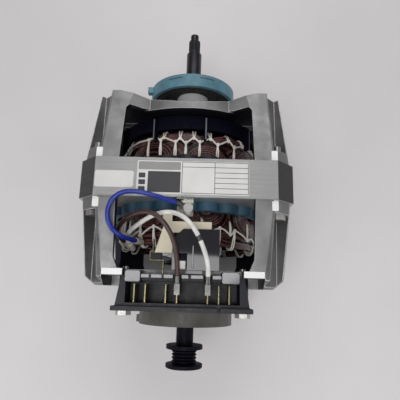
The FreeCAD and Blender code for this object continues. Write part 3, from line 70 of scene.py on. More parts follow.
def add_camera():
    """Look down on the motor, leaning a little toward the pulley end."""
    turn = (Matrix.Rotation(CAMERA_ROLL, 3, "Z") @ Matrix.Rotation(CAMERA_YAW, 3, "Y")
            @ Matrix.Rotation(CAMERA_PITCH, 3, "X"))
    away = Vector((CAMERA_ACROSS, CAMERA_UP, -CAMERA_DISTANCE)) * MM
    back = turn.transposed()
    camera_data = bpy.data.cameras.new("camera")
    camera_data.sensor_width = SENSOR
    camera_data.lens = FOCAL_SHARE * SENSOR
    camera_data.clip_start = 0.01
    camera = bpy.data.objects.new("camera", camera_data)
    camera.matrix_world = Matrix.Translation(-(back @ away)) @ back.to_4x4()
    bpy.context.scene.collection.objects.link(camera)
    bpy.context.scene.camera = camera


# Studio: each light's name, place, size and power, in metres and watts

LIGHTS = (
    ("key", (-0.08, -0.26, 0.80), 0.42, 2.4),
    ("rear", (0.02, 0.52, 0.55), 0.55, 1.9),
    ("left", (-0.62, -0.60, 0.28), 0.50, 2.0),
    ("right", (0.62, -0.60, 0.28), 0.50, 2.1),
)
SKY_COLOUR = (1.0, 0.98, 0.99, 1.0)
SKY_STRENGTH = 0.27
FLOOR_HALF = 3.0


def add_light(name, place, size, power):
    """A square soft light that points at the motor."""
    data = bpy.data.lights.new(name, "AREA")
    data.size = size
    data.energy = power
    light = bpy.data.objects.new(name, data)
    place = Vector(place)
    light.location = place
    light.rotation_euler = (-place).to_track_quat("-Z", "Y").to_euler()
    bpy.context.scene.collection.objects.link(light)


def add_studio():
    """A pale floor, pale surroundings and four soft lights."""
    world = bpy.data.worlds.new("surroundings")
    world.use_nodes = True
    background = world.node_tree.nodes["Background"]
    background.inputs["Color"].default_value = SKY_COLOUR
    background.inputs["Strength"].default_value = SKY_STRENGTH
    bpy.context.scene.world = world
    for light in LIGHTS:
        add_light(*light)
    mesh = bpy.data.meshes.new("floor")
    corners = [(FLOOR_HALF * across, FLOOR_HALF * along, 0)
               for across, along in ((-1, -1), (1, -1), (1, 1), (-1, 1))]
    mesh.from_pydata(corners, [], [(0, 1, 2, 3)])
    floor = bpy.data.objects.new("floor", mesh)
    floor.location.z = FLOOR * MM
    mesh.materials.append(floor_paper())
    bpy.context.scene.collection.objects.link(floor)
    bpy.context.scene.view_settings.view_transform = "Standard"


# Material building blocks


class Paint:
    """A node material with one main shader and helpers that feed it."""

    def __init__(self, name, colour, rough, metal=0.0):
        self.material = bpy.data.materials.new(name)
        self.material.use_nodes = True
        self.tree = self.material.node_tree
        self.shader = self.tree.nodes["Principled BSDF"]
        self.shader.inputs["Base Color"].default_value = (*colour, 1.0)
        self.shader.inputs["Roughness"].default_value = rough
        self.shader.inputs["Metallic"].default_value = metal
        self.coordinates = self.tree.nodes.new("ShaderNodeTexCoord").outputs["Object"]
        self.normal = None

    def link(self, source, target):
        """Feed an output into an input."""
        self.tree.links.new(source, target)

    def stretch(self, scale):
        """The object's coordinates, stretched by a factor for each axis."""
        mapping = self.tree.nodes.new("ShaderNodeMapping")
        mapping.inputs["Scale"].default_value = scale
        self.link(self.coordinates, mapping.inputs["Vector"])
        return mapping.outputs["Vector"]

    def noise(self, size, detail=3.0, scale=(1.0, 1.0, 1.0)):
        """Cloudy noise whose patches are about `size` millimetres across."""
        texture = self.tree.nodes.new("ShaderNodeTexNoise")
        texture.inputs["Scale"].default_value = 1.0 / (size * MM)
        texture.inputs["Detail"].default_value = detail
        self.link(self.stretch(scale), texture.inputs["Vector"])
        return texture.outputs["Fac"]

    def bands(self, pitch, axis, distortion=0.0):
        """Bands with a pitch in millimetres along an axis."""
        texture = self.tree.nodes.new("ShaderNodeTexWave")
        texture.wave_type = "BANDS"
        texture.bands_direction = axis
        texture.inputs["Scale"].default_value = math.tau / (20.0 * pitch * MM)
        texture.inputs["Distortion"].default_value = distortion
        self.link(self.coordinates, texture.inputs["Vector"])
        return texture.outputs["Fac"]

    def ramp(self, source, low, high, start=0.3, end=0.7):
        """Map a factor to a range of grey values."""
        node = self.tree.nodes.new("ShaderNodeMapRange")
        node.inputs["From Min"].default_value = start
        node.inputs["From Max"].default_value = end
        node.inputs["To Min"].default_value = low
        node.inputs["To Max"].default_value = high
        self.link(source, node.inputs["Value"])
        return node.outputs["Result"]

    def blend(self, factor, first, second):
        """Mix two colours, or outputs, by an output."""
        node = self.tree.nodes.new("ShaderNodeMix")
        node.data_type = "RGBA"
        self.link(factor, node.inputs["Factor"])
        for value, socket in ((first, node.inputs[6]), (second, node.inputs[7])):
            if hasattr(value, "links"):
                self.link(value, socket)
            else:
                socket.default_value = (*value, 1.0)
        return node.outputs[2]

    def colour(self, source):
        """Let an output give the colour."""
        self.link(source, self.shader.inputs["Base Color"])

    def rough(self, source):
        """Let an output give the roughness."""
        self.link(source, self.shader.inputs["Roughness"])

    def geometry(self, name):
        """One output of the surface's geometry."""
        return self.tree.nodes.new("ShaderNodeNewGeometry").outputs[name]

    def split(self, vector):
        """The X, Y and Z of a vector."""
        node = self.tree.nodes.new("ShaderNodeSeparateXYZ")
        self.link(vector, node.inputs["Vector"])
        return node.outputs

    def math(self, operation, *sources):
        """A number worked out from one or two outputs."""
        node = self.tree.nodes.new("ShaderNodeMath")
        node.operation = operation
        for source, socket in zip(sources, node.inputs):
            self.link(source, socket)
        return node.outputs["Value"]

    def dot(self, first, second):
        """The dot product of two vectors."""
        node = self.tree.nodes.new("ShaderNodeVectorMath")
        node.operation = "DOT_PRODUCT"
        self.link(first, node.inputs[0])
        self.link(second, node.inputs[1])
        return node.outputs["Value"]

    def edges(self, radius):
        """Round the look of sharp edges; returns a mask that is bright on them."""
        bevel = self.tree.nodes.new("ShaderNodeBevel")
        bevel.samples = 4
        bevel.inputs["Radius"].default_value = radius * MM
        self.normal = bevel.outputs["Normal"]
        self.link(self.normal, self.shader.inputs["Normal"])
        return self.ramp(self.dot(self.normal, self.geometry("Normal")), 1.0, 0.0, 0.80, 0.99)

    def inner_shade_mask(self):
        """A mask for painted shade, bright on walls that face the motor's centre from afar."""
        outward = self.dot(self.coordinates, self.geometry("True Normal"))
        return self.ramp(outward, 1.0, 0.0, INNER_SHADE_END * MM, INNER_SHADE_START * MM)

    def slant_shade_mask(self):
        """A mask for painted shade, bright on faces slanting between X and Z, dark on the flats.
        """
        normal = self.split(self.geometry("True Normal"))
        slant = self.math("ABSOLUTE", self.math("MULTIPLY", normal["X"], normal["Z"]))
        return self.ramp(slant, 0.0, 1.0, 0.15, 0.35)

    def bump(self, source, depth, strength=1.0):
        """Raise the surface by up to `depth` millimetres."""
        node = self.tree.nodes.new("ShaderNodeBump")
        node.inputs["Distance"].default_value = depth * MM
        node.inputs["Strength"].default_value = strength
        self.link(source, node.inputs["Height"])
        if self.normal:
            self.link(self.normal, node.inputs["Normal"])
        self.normal = node.outputs["Normal"]
        self.link(self.normal, self.shader.inputs["Normal"])


# Materials

# Painted shade: walls that face the motor's centre turn dark between these distances of
# their planes from it, in millimetres; a minus says that a plane faces it

INNER_SHADE_START = -12.0
INNER_SHADE_END = -34.0

# The switch cover's front part sinks: from where to where along Y, and by how much

SINK_START = -43.0
SINK_END = -66.0
SINK_DEPTH = 3.2


def lighter(colour, share):
    """A colour multiplied by a share, lighter above 1 and darker below."""
    return tuple(min(1.0, channel * share) for channel in colour)


def floor_paper():
    """Pale matt backdrop paper."""
    paint = Paint("floor_paper", (0.72, 0.70, 0.71), 0.85)
    paint.colour(paint.blend(paint.ramp(paint.noise(60.0), 0.0, 1.0),
                             (0.71, 0.69, 0.70), (0.73, 0.71, 0.72)))
    return paint.material


def die_cast():
    """Grey cast aluminium, stained in patches; painted edge highlights, painted shade inside."""
    base = (0.235, 0.234, 0.236)
    paint = Paint("die_cast", base, 0.42, metal=0.8)
    edge_mask = paint.edges(0.9)
    patches = paint.blend(paint.ramp(paint.noise(18.0, detail=5.0), 0.0, 1.0),
                          lighter(base, 0.74), lighter(base, 1.2))
    # Painted highlight: the edges blend toward near-white
    edge_highlighted = paint.blend(paint.ramp(edge_mask, 0.0, 0.9, 0.0, 1.0), patches, (0.86, 0.86, 0.86))
    # Painted shade: walls that face the centre go near-black
    paint.colour(paint.blend(paint.inner_shade_mask(), edge_highlighted, (0.028, 0.028, 0.040)))
    paint.rough(paint.ramp(paint.noise(6.0, detail=4.0), 0.34, 0.55))
    paint.bump(paint.noise(0.9, detail=3.0), 0.06, 0.5)
    return paint.material


def laminations():
    """Steel sheets on edge: fine bands along Y, with rust-brown varnish in places, and painted
    shade on the slanted corner faces.
    """
    paint = Paint("laminations", (0.42, 0.42, 0.42), 0.4, metal=0.75)
    paint.edges(0.3)
    lines = paint.bands(0.65, "Y", distortion=0.15)
    streaks = paint.noise(14.0, detail=5.0, scale=(0.25, 6.0, 0.25))
    steel = paint.blend(paint.ramp(lines, 0.0, 1.0, 0.1, 0.6), (0.17, 0.17, 0.172),
                        (0.46, 0.46, 0.46))
    rusty = paint.blend(paint.ramp(streaks, 0.0, 0.5, 0.42, 0.7), steel, (0.30, 0.29, 0.28))
    # Painted shade: the slanted corner faces turn dark
    paint.colour(paint.blend(paint.slant_shade_mask(), rusty, (0.075, 0.075, 0.078)))
    paint.rough(paint.ramp(streaks, 0.32, 0.5))
    paint.bump(lines, 0.05, 0.6)
    return paint.material


def plastic(name, colour, rough, grain=0.5, depth=0.02, edge=0.25, shine=0.5):
    """Moulded plastic with a fine grain and slightly paler edges."""
    paint = Paint(name, colour, rough)
    paint.shader.inputs["Specular IOR Level"].default_value = shine
    edge_mask = paint.edges(edge)
    clouds = paint.blend(paint.ramp(paint.noise(9.0, detail=4.0), 0.0, 1.0),
                         lighter(colour, 0.75), lighter(colour, 1.15))
    pale = tuple(channel * 0.9 + 0.03 * shine for channel in colour)
    paint.colour(paint.blend(paint.ramp(edge_mask, 0.0, 0.6, 0.0, 1.0), clouds, pale))
    paint.rough(paint.ramp(paint.noise(3.0), rough * 0.85, min(1.0, rough * 1.2)))
    paint.bump(paint.noise(grain), depth, 0.5)
    return paint.material


def metal(name, colour, rough, brushed=(1.0, 1.0, 1.0)):
    """Plated or bare metal with soft stains and fine scratches."""
    paint = Paint(name, colour, rough, metal=1.0)
    edge_mask = paint.edges(0.25)
    stains = paint.blend(paint.ramp(paint.noise(5.0, detail=5.0), 0.0, 1.0),
                         lighter(colour, 0.75), lighter(colour, 1.1))
    paint.colour(paint.blend(paint.ramp(edge_mask, 0.0, 0.5, 0.0, 1.0), stains,
                             lighter(colour, 1.35)))
    scratches = paint.noise(1.2, detail=4.0, scale=brushed)
    paint.rough(paint.ramp(scratches, rough * 0.75, min(1.0, rough * 1.3)))
    paint.bump(scratches, 0.01, 0.4)
    return paint.material


def enamelled_copper(name, base, pale):
    """Red-brown wire enamel under varnish."""
    paint = Paint(name, base, 0.28)
    paint.shader.inputs["Coat Weight"].default_value = 0.3
    paint.shader.inputs["Coat Roughness"].default_value = 0.2
    clouds = paint.ramp(paint.noise(7.0, detail=4.0), 0.0, 1.0)
    paint.colour(paint.blend(clouds, lighter(base, 0.5), pale))
    paint.rough(paint.ramp(paint.noise(2.0), 0.2, 0.42))
    paint.bump(paint.noise(1.4, detail=3.0), 0.03, 0.4)
    return paint.material


def lacing_cord():
    """White twisted cord, yellowed where varnish has wetted it."""
    paint = Paint("lacing_cord", (0.78, 0.76, 0.70), 0.75)
    paint.shader.inputs["Sheen Weight"].default_value = 0.3
    damp = paint.ramp(paint.noise(8.0, detail=3.0), 0.0, 1.0, 0.45, 0.7)
    paint.colour(paint.blend(damp, (0.82, 0.80, 0.76), (0.62, 0.55, 0.42)))
    paint.bump(paint.noise(0.35, detail=2.0), 0.08, 0.7)
    return paint.material


def insulation(name, colour):
    """Soft wire insulation with faint scuffs."""
    rough = 0.38
    paint = Paint(name, colour, rough)
    paint.shader.inputs["Coat Weight"].default_value = 0.15
    scuffs = paint.ramp(paint.noise(5.0, detail=5.0), 0.0, 1.0)
    paint.colour(paint.blend(scuffs, lighter(colour, 0.8), lighter(colour, 1.12)))
    paint.rough(paint.ramp(paint.noise(2.5), rough * 0.8, rough * 1.3))
    paint.bump(paint.noise(1.0), 0.02, 0.4)
    return paint.material


def rubber():
    """Black rubber with a little dust."""
    paint = Paint("cushion_rubber", (0.02, 0.02, 0.021), 0.75)
    dust = paint.ramp(paint.noise(10.0, detail=5.0), 0.0, 1.0, 0.4, 0.75)
    paint.colour(paint.blend(dust, (0.015, 0.015, 0.016), (0.05, 0.05, 0.048)))
    paint.bump(paint.noise(0.8), 0.04, 0.5)
    return paint.material


def paper(name, colour, rough=0.5):
    """Coated sticker stock with faint wrinkles."""
    paint = Paint(name, colour, rough)
    paint.colour(paint.blend(paint.ramp(paint.noise(12.0, detail=4.0), 0.0, 1.0),
                             lighter(colour, 0.93), lighter(colour, 1.04)))
    paint.rough(paint.ramp(paint.noise(4.0), rough * 0.85, rough * 1.15))
    paint.bump(paint.noise(6.0, detail=2.0), 0.03, 0.3)
    return paint.material


def painted_light_aluminium():
    """Near-white aluminium with fine turned rings: a painted reflection on the turned hub
    and painted highlights on the cast bars and pads.
    """
    paint = Paint("near_white_painted_light", (0.86, 0.86, 0.85), 0.38, metal=0.1)
    rings = paint.noise(1.5, detail=3.0, scale=(0.3, 5.0, 0.3))
    paint.colour(paint.blend(rings, (0.82, 0.82, 0.815), (0.92, 0.92, 0.91)))
    paint.rough(paint.ramp(rings, 0.3, 0.45))
    paint.bump(rings, 0.02, 0.4)
    return paint.material


def gloss_moulding(name, dark, pale):
    """Polished plastic whose front part sinks a little, as mouldings do when they cool."""
    paint = Paint(name, dark, 0.3)
    paint.shader.inputs["Specular IOR Level"].default_value = 0.0
    paint.shader.inputs["Coat Weight"].default_value = 1.0
    paint.shader.inputs["Coat Roughness"].default_value = 0.11
    paint.shader.inputs["Coat IOR"].default_value = 1.6
    paint.edges(0.3)
    along = paint.split(paint.coordinates)["Y"]
    share = paint.ramp(along, 1.0, 0.0, SINK_END * MM, SINK_START * MM)
    square = paint.math("MULTIPLY", share, share)
    paint.bump(paint.ramp(square, 1.0, 0.0, 0.0, 1.0), SINK_DEPTH)
    paint.link(paint.normal, paint.shader.inputs["Coat Normal"])
    grain = paint.noise(2.5, detail=4.0)
    paint.colour(paint.blend(grain, dark, pale))
    paint.rough(paint.ramp(grain, 0.25, 0.35))
    paint.bump(grain, 0.01, 0.4)
    return paint.material


def make_materials():
    """Every material by the name of the record's slot that it dresses."""
    return {
        "die_cast": die_cast(),
        "lamination_steel": laminations(),
        "slot_fibre": plastic("slot_fibre", (0.42, 0.33, 0.20), 0.7),
        "teal_insulator": plastic("teal_insulator", (0.03, 0.09, 0.14), 0.5),
        "enamelled_copper": enamelled_copper("enamelled_copper", (0.011, 0.0040, 0.0048),
                                             (0.024, 0.0075, 0.0080)),
        "zinc_steel": metal("zinc_steel", (0.50, 0.49, 0.47), 0.38),
        "teal_steel": plastic("teal_steel", (0.10, 0.24, 0.31), 0.45, grain=1.2, edge=0.5),
        "grey_steel": plastic("grey_steel", (0.085, 0.080, 0.071), 0.5, grain=1.2, edge=0.5),
        "black_rubber": rubber(),
        "bearing_bronze": metal("bearing_bronze", (0.45, 0.28, 0.12), 0.4),
        "felt": plastic("felt", (0.45, 0.42, 0.36), 0.95, grain=0.4, depth=0.1),
        "spring_steel": metal("spring_steel", (0.45, 0.45, 0.45), 0.3),
        "black_oxide": metal("black_oxide", (0.045, 0.045, 0.05), 0.36,
                             brushed=(1.0, 6.0, 1.0)),
        "fan_plastic": plastic("fan_plastic", (0.002, 0.0025, 0.009), 0.75, shine=0.1),
        "black_moulding": plastic("black_moulding", (0.009, 0.009, 0.015), 0.36, shine=0.3),
        "lever_moulding": plastic("lever_moulding", (0.40, 0.35, 0.26), 0.5),
        "terminal_brass": metal("terminal_brass", (0.22, 0.20, 0.11), 0.3),
        "tinned_brass": metal("tinned_brass", (0.17, 0.168, 0.165), 0.28),
        "cream_board": paper("cream_board", (0.68, 0.62, 0.48), 0.7),
        "label_paper": paper("label_paper", (0.70, 0.695, 0.68)),
        "blue_insulation": insulation("blue_insulation", (0.006, 0.022, 0.27)),
        "brown_insulation": insulation("brown_insulation", (0.045, 0.02, 0.018)),
        "white_insulation": insulation("white_insulation", (0.72, 0.71, 0.68)),
        "splice_plastic": plastic("splice_plastic", (0.5, 0.47, 0.4), 0.45),
    }


materials = make_materials()
lacing = lacing_cord()
# A paler copy of the enamel: painted highlights on single wires
highlight_enamel = enamelled_copper("highlight_enamel", (0.12, 0.045, 0.045), (0.27, 0.12, 0.115))
highlight_metal = painted_light_aluminium()
gloss_black = gloss_moulding("gloss_moulding", (0.006, 0.006, 0.010), (0.014, 0.014, 0.019))
# Grey glossy moulding: painted reflections on the switch's black blocks
highlight_black = gloss_moulding("highlight_moulding", (0.13, 0.13, 0.14), (0.20, 0.20, 0.21))
varnished_teal = plastic("varnished_teal", (0.006, 0.010, 0.016), 0.5)
chip_white = plastic("chip_white", (0.62, 0.61, 0.60), 0.5)
# Pale strip: a painted highlight on the cover's fin
fin_highlight = plastic("fin_highlight", (0.36, 0.36, 0.38), 0.45)
# Grey strips: painted highlights on the fan's blade tips
blade_highlight = plastic("blade_highlight", (0.13, 0.13, 0.15), 0.5, shine=0.3)
clip_steel = metal("clip_steel", (0.36, 0.36, 0.33), 0.25)
pulley_black = plastic("pulley_black", (0.003, 0.003, 0.008), 0.55, shine=0.12)
# Dark print and black bands; also painted shade in the ring's slits
dark_print_and_shade = paper("dark_print_and_shade", (0.045, 0.045, 0.05), 0.45)
print_grey = paper("print_grey", (0.30, 0.29, 0.285), 0.45)


def dress_solids():
    """Give every carried-over solid the material of its slot."""
    for entry in frame["record"]["subparts"]:
        node = nodes[entry["node"]]
        node.data.materials.clear()
        node.data.materials.append(materials[entry["material_slot"]])
    for name, look in (("switch_cover", gloss_black), ("pulley", pulley_black),
                       ("slot_insulator_rear", varnished_teal), ("ground_clip", clip_steel)):
        nodes[name].data.materials[0] = look


# Mesh helpers

SHARP_ANGLE = math.radians(35.0)
SWEEP_SIDE = (0.31, 0.87, 0.39)


def add_mesh(name, points, faces, slot, body=FRAME_BODY, look=None):
    """A mesh piece from points in millimetres; it rides on a body and takes a slot's finish."""
    mesh = bpy.data.meshes.new(name)
    mesh.from_pydata([tuple(np.asarray(point) * MM) for point in points], [], faces)
    mesh.materials.append(look or materials[slot])
    mesh.shade_smooth()
    mesh.set_sharp_from_angle(angle=SHARP_ANGLE)
    piece = bpy.data.objects.new(name, mesh)
    bpy.context.scene.collection.objects.link(piece)
    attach(piece, body)
    return piece


def sweep(paths, radii, sides):
    """Round tubes along paths of points: the points and faces of one mesh."""
    points = []
    faces = []
    ring_turns = np.linspace(0.0, math.tau, sides, endpoint=False)
    for path, radius in zip(paths, radii):
        path = np.asarray(path, float)
        along = np.gradient(path, axis=0)
        along /= np.linalg.norm(along, axis=1)[:, None]
        side = np.cross(along[0], SWEEP_SIDE)
        first = len(points)
        for place, heading in zip(path, along):
            side = side - heading * np.dot(side, heading)
            side /= np.linalg.norm(side)
            other = np.cross(heading, side)
            for turn in ring_turns:
                points.append(place + radius * (math.cos(turn) * side + math.sin(turn) * other))
        for ring in range(len(path) - 1):
            for corner in range(sides):
                following = (corner + 1) % sides
                low = first + ring * sides
                faces.append((low + corner, low + following, low + sides + following,
                              low + sides + corner))
        faces.append(tuple(first + corner for corner in reversed(range(sides))))
        last = first + (len(path) - 1) * sides
        faces.append(tuple(last + corner for corner in range(sides)))
    return points, faces


def at_angle(radius, turn, place):
    """A point at a radius, turned from +Z toward +X in degrees, and its place along Y."""
    turn = math.radians(turn)
    return (radius * math.sin(turn), place, radius * math.cos(turn))


def tubes(paths, radius, sides):
    """Round tubes along paths of equally many points about the shaft's axis, as one mesh."""
    paths = np.asarray(paths, float)
    count, length = paths.shape[:2]
    along = np.gradient(paths, axis=1)
    along /= np.linalg.norm(along, axis=2, keepdims=True)
    outward = paths * (1.0, 0.0, 1.0)
    outward /= np.linalg.norm(outward, axis=2, keepdims=True)
    side = np.cross(along, outward)
    side /= np.linalg.norm(side, axis=2, keepdims=True)
    other = np.cross(side, along)
    turns = np.linspace(0.0, math.tau, sides, endpoint=False)[None, None, :, None]
    points = paths[:, :, None] + radius * (np.cos(turns) * side[:, :, None]
                                           + np.sin(turns) * other[:, :, None])
    first = (np.arange(count) * length * sides)[:, None, None]
    ring = (np.arange(length - 1) * sides)[None, :, None]
    corner = np.arange(sides)[None, None, :]
    following = (corner + 1) % sides
    low = first + ring
    faces = np.stack([low + corner, low + following, low + sides + following,
                      low + sides + corner], axis=-1).reshape(-1, 4)
    caps = []
    for tube in range(count):
        base = tube * length * sides
        caps.append([base + step for step in reversed(range(sides))])
        caps.append([base + (length - 1) * sides + step for step in range(sides)])
    return points.reshape(-1, 3), faces.tolist() + caps


def smooth_line(corners, steps=5):
    """A smooth line through its corners."""
    corners = [np.asarray(corner, float) for corner in corners]
    padded = [2 * corners[0] - corners[1]] + corners + [2 * corners[-1] - corners[-2]]
    line = []
    for before, start, end, after in zip(padded, padded[1:], padded[2:], padded[3:]):
        for step in range(steps):
            share = step / steps
            line.append(0.5 * (2 * start + (end - before) * share
                               + (2 * before - 5 * start + 4 * end - after) * share ** 2
                               + (3 * start - before - 3 * end + after) * share ** 3))
    line.append(corners[-1])
    return line


def lathe(profile, segments, ribs=0):
    """A closed outline turned about the shaft's axis.

    The outline holds (radius, y) points, its outer side running toward +Y, or
    (radius, y, rib): ribs move such a point along Y by up to `rib` millimetres.
    """
    points = []
    faces = []
    count = len(profile)
    for step in range(segments):
        turn = 360.0 * step / segments
        swell = 0.5 + 0.5 * math.cos(math.radians(ribs * turn))
        for radius, place, *rib in profile:
            points.append(at_angle(radius, turn, place + (rib[0] * swell if rib else 0.0)))
    for step in range(segments):
        following = (step + 1) % segments
        for corner in range(count):
            beside = (corner + 1) % count
            faces.append((following * count + corner, following * count + beside,
                          step * count + beside, step * count + corner))
    return points, faces


def joined(pieces):
    """Several (points, faces) pairs as one."""
    points = []
    faces = []
    for some_points, some_faces in pieces:
        first = len(points)
        points += list(some_points)
        faces += [[first + corner for corner in face] for face in some_faces]
    return points, faces


def prism(outline, bottom, top):
    """An upright prism over an outline of (x, y) points."""
    count = len(outline)
    points = [(x, y, z) for z in (bottom, top) for x, y in outline]
    faces = [[count + step for step in range(count)], list(reversed(range(count)))]
    for step in range(count):
        following = (step + 1) % count
        faces.append([step, following, count + following, count + step])
    return points, faces


def rounded(left, right, front, rear, corner=0.0, steps=4):
    """The outline of a rectangle with rounded corners, counter-clockwise from above."""
    if not corner:
        return [(left, front), (right, front), (right, rear), (left, rear)]
    outline = []
    for centre_x, centre_y, start in ((right - corner, rear - corner, 0.0),
                                      (left + corner, rear - corner, 90.0),
                                      (left + corner, front + corner, 180.0),
                                      (right - corner, front + corner, 270.0)):
        for step in range(steps + 1):
            turn = math.radians(start + 90.0 * step / steps)
            outline.append((centre_x + corner * math.cos(turn),
                            centre_y + corner * math.sin(turn)))
    return outline


# Windings: every coil is a bundle of nested arches of wire.
# A coil: slot angle, crown reach from and to in degrees, crown height from and to, wires;
# then slot radius, crown radius, layers and how square its arches are.

WIRE_SEED = 7
WIRE = 0.9
WIRE_SIDES = 6
# Share of odd wires given painted highlights
HIGHLIGHT_SHARE = 0.8
ARCH_POINTS = 20
SLOT_SPREAD = 8.0
FOOT = 9.7
LAYER = 1.02
SPREAD_RISE = 1.6
INWARD_RISE = 1.8
SQUARE_JITTER = 0.1
SWAY = 0.22
SHARE_JITTER = 0.12
LAYER_JITTER = 0.1
MAIN_POLES = (-30.0, 60.0, 150.0, 240.0)
START_POLES = (15.0, 105.0, 195.0, 285.0)
MAIN_REAR = (
    ((15.0, 4.5, 22.2, 19.0, 33.4, 17), 51.4, 50.6, 3, 2.3),
    ((30.0, 23.0, 34.5, 29.0, 34.6, 11), 51.4, 48.0, 3, 2.6),
    ((42.6, 38.0, 44.4, 32.5, 38.8, 12), 51.4, 49.4, 3, 6.0),
)
MAIN_FRONT = (
    ((15.0, 4.5, 22.2, 19.0, 32.6, 17), 51.4, 50.6, 3, 2.3),
    ((30.0, 23.0, 34.5, 29.0, 35.0, 11), 51.4, 48.0, 3, 2.6),
    ((42.6, 38.0, 44.4, 35.8, 40.4, 9), 51.4, 49.4, 3, 6.0),
)
START_BOTH = (
    ((15.0, 4.5, 22.2, 18.0, 31.8, 17), 46.4, 50.6, 3, 2.3),
    ((30.0, 24.0, 34.5, 25.5, 38.5, 18), 46.4, 46.4, 3, 5.0),
)


def arch(pole, foot, reach, peak, side, slot_radius, crown_radius, shift, square, chance):
    """One wire of a coil, from slot to slot over the crown."""
    power = square + chance.uniform(-SQUARE_JITTER, SQUARE_JITTER)
    sway = chance.uniform(0.0, SWAY)
    phase = chance.uniform(0.0, math.tau)
    path = []
    for step in range(ARCH_POINTS + 1):
        turn = math.pi * step / ARCH_POINTS
        across = math.copysign(abs(math.cos(turn)) ** (2 / power), math.cos(turn))
        rise = abs(math.sin(turn)) ** (2 / power)
        angle = foot + (reach - foot) * min(1.0, rise * SPREAD_RISE)
        inward = (crown_radius - slot_radius) * min(1.0, rise * INWARD_RISE)
        radius = slot_radius + inward + shift + sway * math.sin(3 * turn + phase)
        place = FOOT + (peak - FOOT) * rise + 0.5 * sway * math.sin(5 * turn + phase)
        path.append(at_angle(radius, pole - angle * across, side * place))
    return path


def coil_wires(pole, shape, slot_radius, crown_radius, layers, square, side, chance):
    """The bundle of one coil, layer by layer."""
    slot, reach_from, reach_to, peak_from, peak_to, count = shape
    paths = []
    for layer in range(layers):
        shift = (layer - (layers - 1) / 2) * LAYER
        for wire in range(count):
            share = (wire + 0.5 + 0.5 * (layer % 2)) / (count + 0.5)
            share += chance.uniform(-SHARE_JITTER, SHARE_JITTER) / count
            foot = slot + (share - 0.5) * SLOT_SPREAD
            reach = reach_from + (reach_to - reach_from) * share
            peak = peak_from + (peak_to - peak_from) * share
            moved = shift + chance.uniform(-LAYER_JITTER, LAYER_JITTER)
            paths.append(arch(pole, foot, reach, peak, side, slot_radius, crown_radius, moved,
                              square, chance))
    return paths


def add_windings():
    """Both windings as bundles of wires, some of them in a paler enamel as painted highlights.
    """
    chance = random.Random(WIRE_SEED)
    for name, node, poles, rear, front in (
            ("main_coils", "main_winding", MAIN_POLES, MAIN_REAR, MAIN_FRONT),
            ("start_coils", "start_winding", START_POLES, START_BOTH, START_BOTH)):
        paths = []
        for side, coils in ((1, rear), (-1, front)):
            for pole in poles:
                for shape, slot_radius, crown_radius, layers, square in coils:
                    paths += coil_wires(pole, shape, slot_radius, crown_radius, layers, square,
                                        side, chance)
        points, faces = tubes(paths, WIRE / 2, WIRE_SIDES)
        piece = add_mesh(name, points, faces, "enamelled_copper")
        piece.data.materials.append(highlight_enamel)
        # Painted highlights: some odd wires take the paler enamel
        looks = [int(number % 2 and chance.random() < HIGHLIGHT_SHARE)
                 for number in range(len(paths))]
        around = ARCH_POINTS * WIRE_SIDES
        looks = np.concatenate([np.repeat(looks, around), np.repeat(looks, 2)])
        piece.data.polygons.foreach_set("material_index", looks.astype(np.int32))
        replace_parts(piece, node)


# Lacing: a zigzag of cord over the crowns, with loops over the top and tails to the slots.
# Knots: angle and distance from the middle of the stack

LACE_SEED = 21
CORD = 1.25
CORD_SIDES = 7
TAIL_SHARE = 0.84
KNOT_ACROSS = 0.75
KNOT_ALONG = 0.85
KNOT_DEEP = 0.25
KNOT_STEPS = 8
LACE_RADIUS = 52.75
LACE_BEND = 33.0
LACE_LEAN = 0.42
REAR_LACE = (
    ("turn", -44.0, 35.4), ("low", -33.3, 34.8), ("turn", -27.0, 35.6), ("low", -21.8, 32.8),
    ("high", -19.6, 34.6), ("low", -9.8, 30.7), ("high", -6.4, 33.0), ("low", -1.9, 29.8),
    ("high", 4.0, 33.4), ("low", 8.5, 30.8), ("high", 16.8, 33.7), ("low", 22.7, 30.4),
    ("high", 32.8, 35.0), ("low", 37.8, 31.3), ("high", 48.0, 34.4),
)
FRONT_LACE = (
    ("low", -49.0, 34.6), ("high", -36.0, 30.4), ("low", -36.6, 33.9), ("high", -24.0, 28.2),
    ("low", -12.0, 33.0), ("high", 0.0, 28.6), ("low", 12.0, 33.4), ("high", 25.6, 28.2),
    ("low", 34.9, 31.8), ("high", 39.0, 28.8), ("turn", 47.0, 31.0), ("low", 55.0, 33.6),
    ("turn", 62.0, 32.2),
)
LACE_STEP = 11.0
HIDDEN_HIGH = 34.2
HIDDEN_LOW = 30.6
HIDDEN_TURN = 1.5
HIDDEN_SHIFT = 0.8

# A loop over the crest, point by point: how far in, its share of the spread, how high

LOOP = ((3.0, 1.0, 0.3), (6.5, 1.1, 0.1), (9.6, 1.0, -5.5))

# Each lacing's name, side, knots, the crest of its crown and the end of its tails

LACINGS = (
    ("rear_lacing", 1, REAR_LACE, 38.9, 17.6),
    ("front_lacing", -1, FRONT_LACE, 40.6, 22.0),
)


def lace_point(angle, distance, side, lift=0.0):
    """A point on the skin of a crown; the skin leans in above the bend."""
    radius = LACE_RADIUS - LACE_LEAN * max(0.0, distance - LACE_BEND) + lift
    return at_angle(radius, angle, side * distance)


def whole_lace(shown, chance):
    """The knots in view, carried on in the same way round the back."""
    knots = list(shown)
    angle = shown[-1][1] + LACE_STEP
    high = True
    while angle < shown[0][1] + 360.0 - LACE_STEP / 2:
        distance = HIDDEN_HIGH if high else HIDDEN_LOW
        knots.append(("high" if high else "low",
                      angle + chance.uniform(-HIDDEN_TURN, HIDDEN_TURN),
                      distance + chance.uniform(-HIDDEN_SHIFT, HIDDEN_SHIFT)))
        angle += LACE_STEP
        high = not high
    return knots + [(shown[0][0], shown[0][1] + 360.0, shown[0][2])]


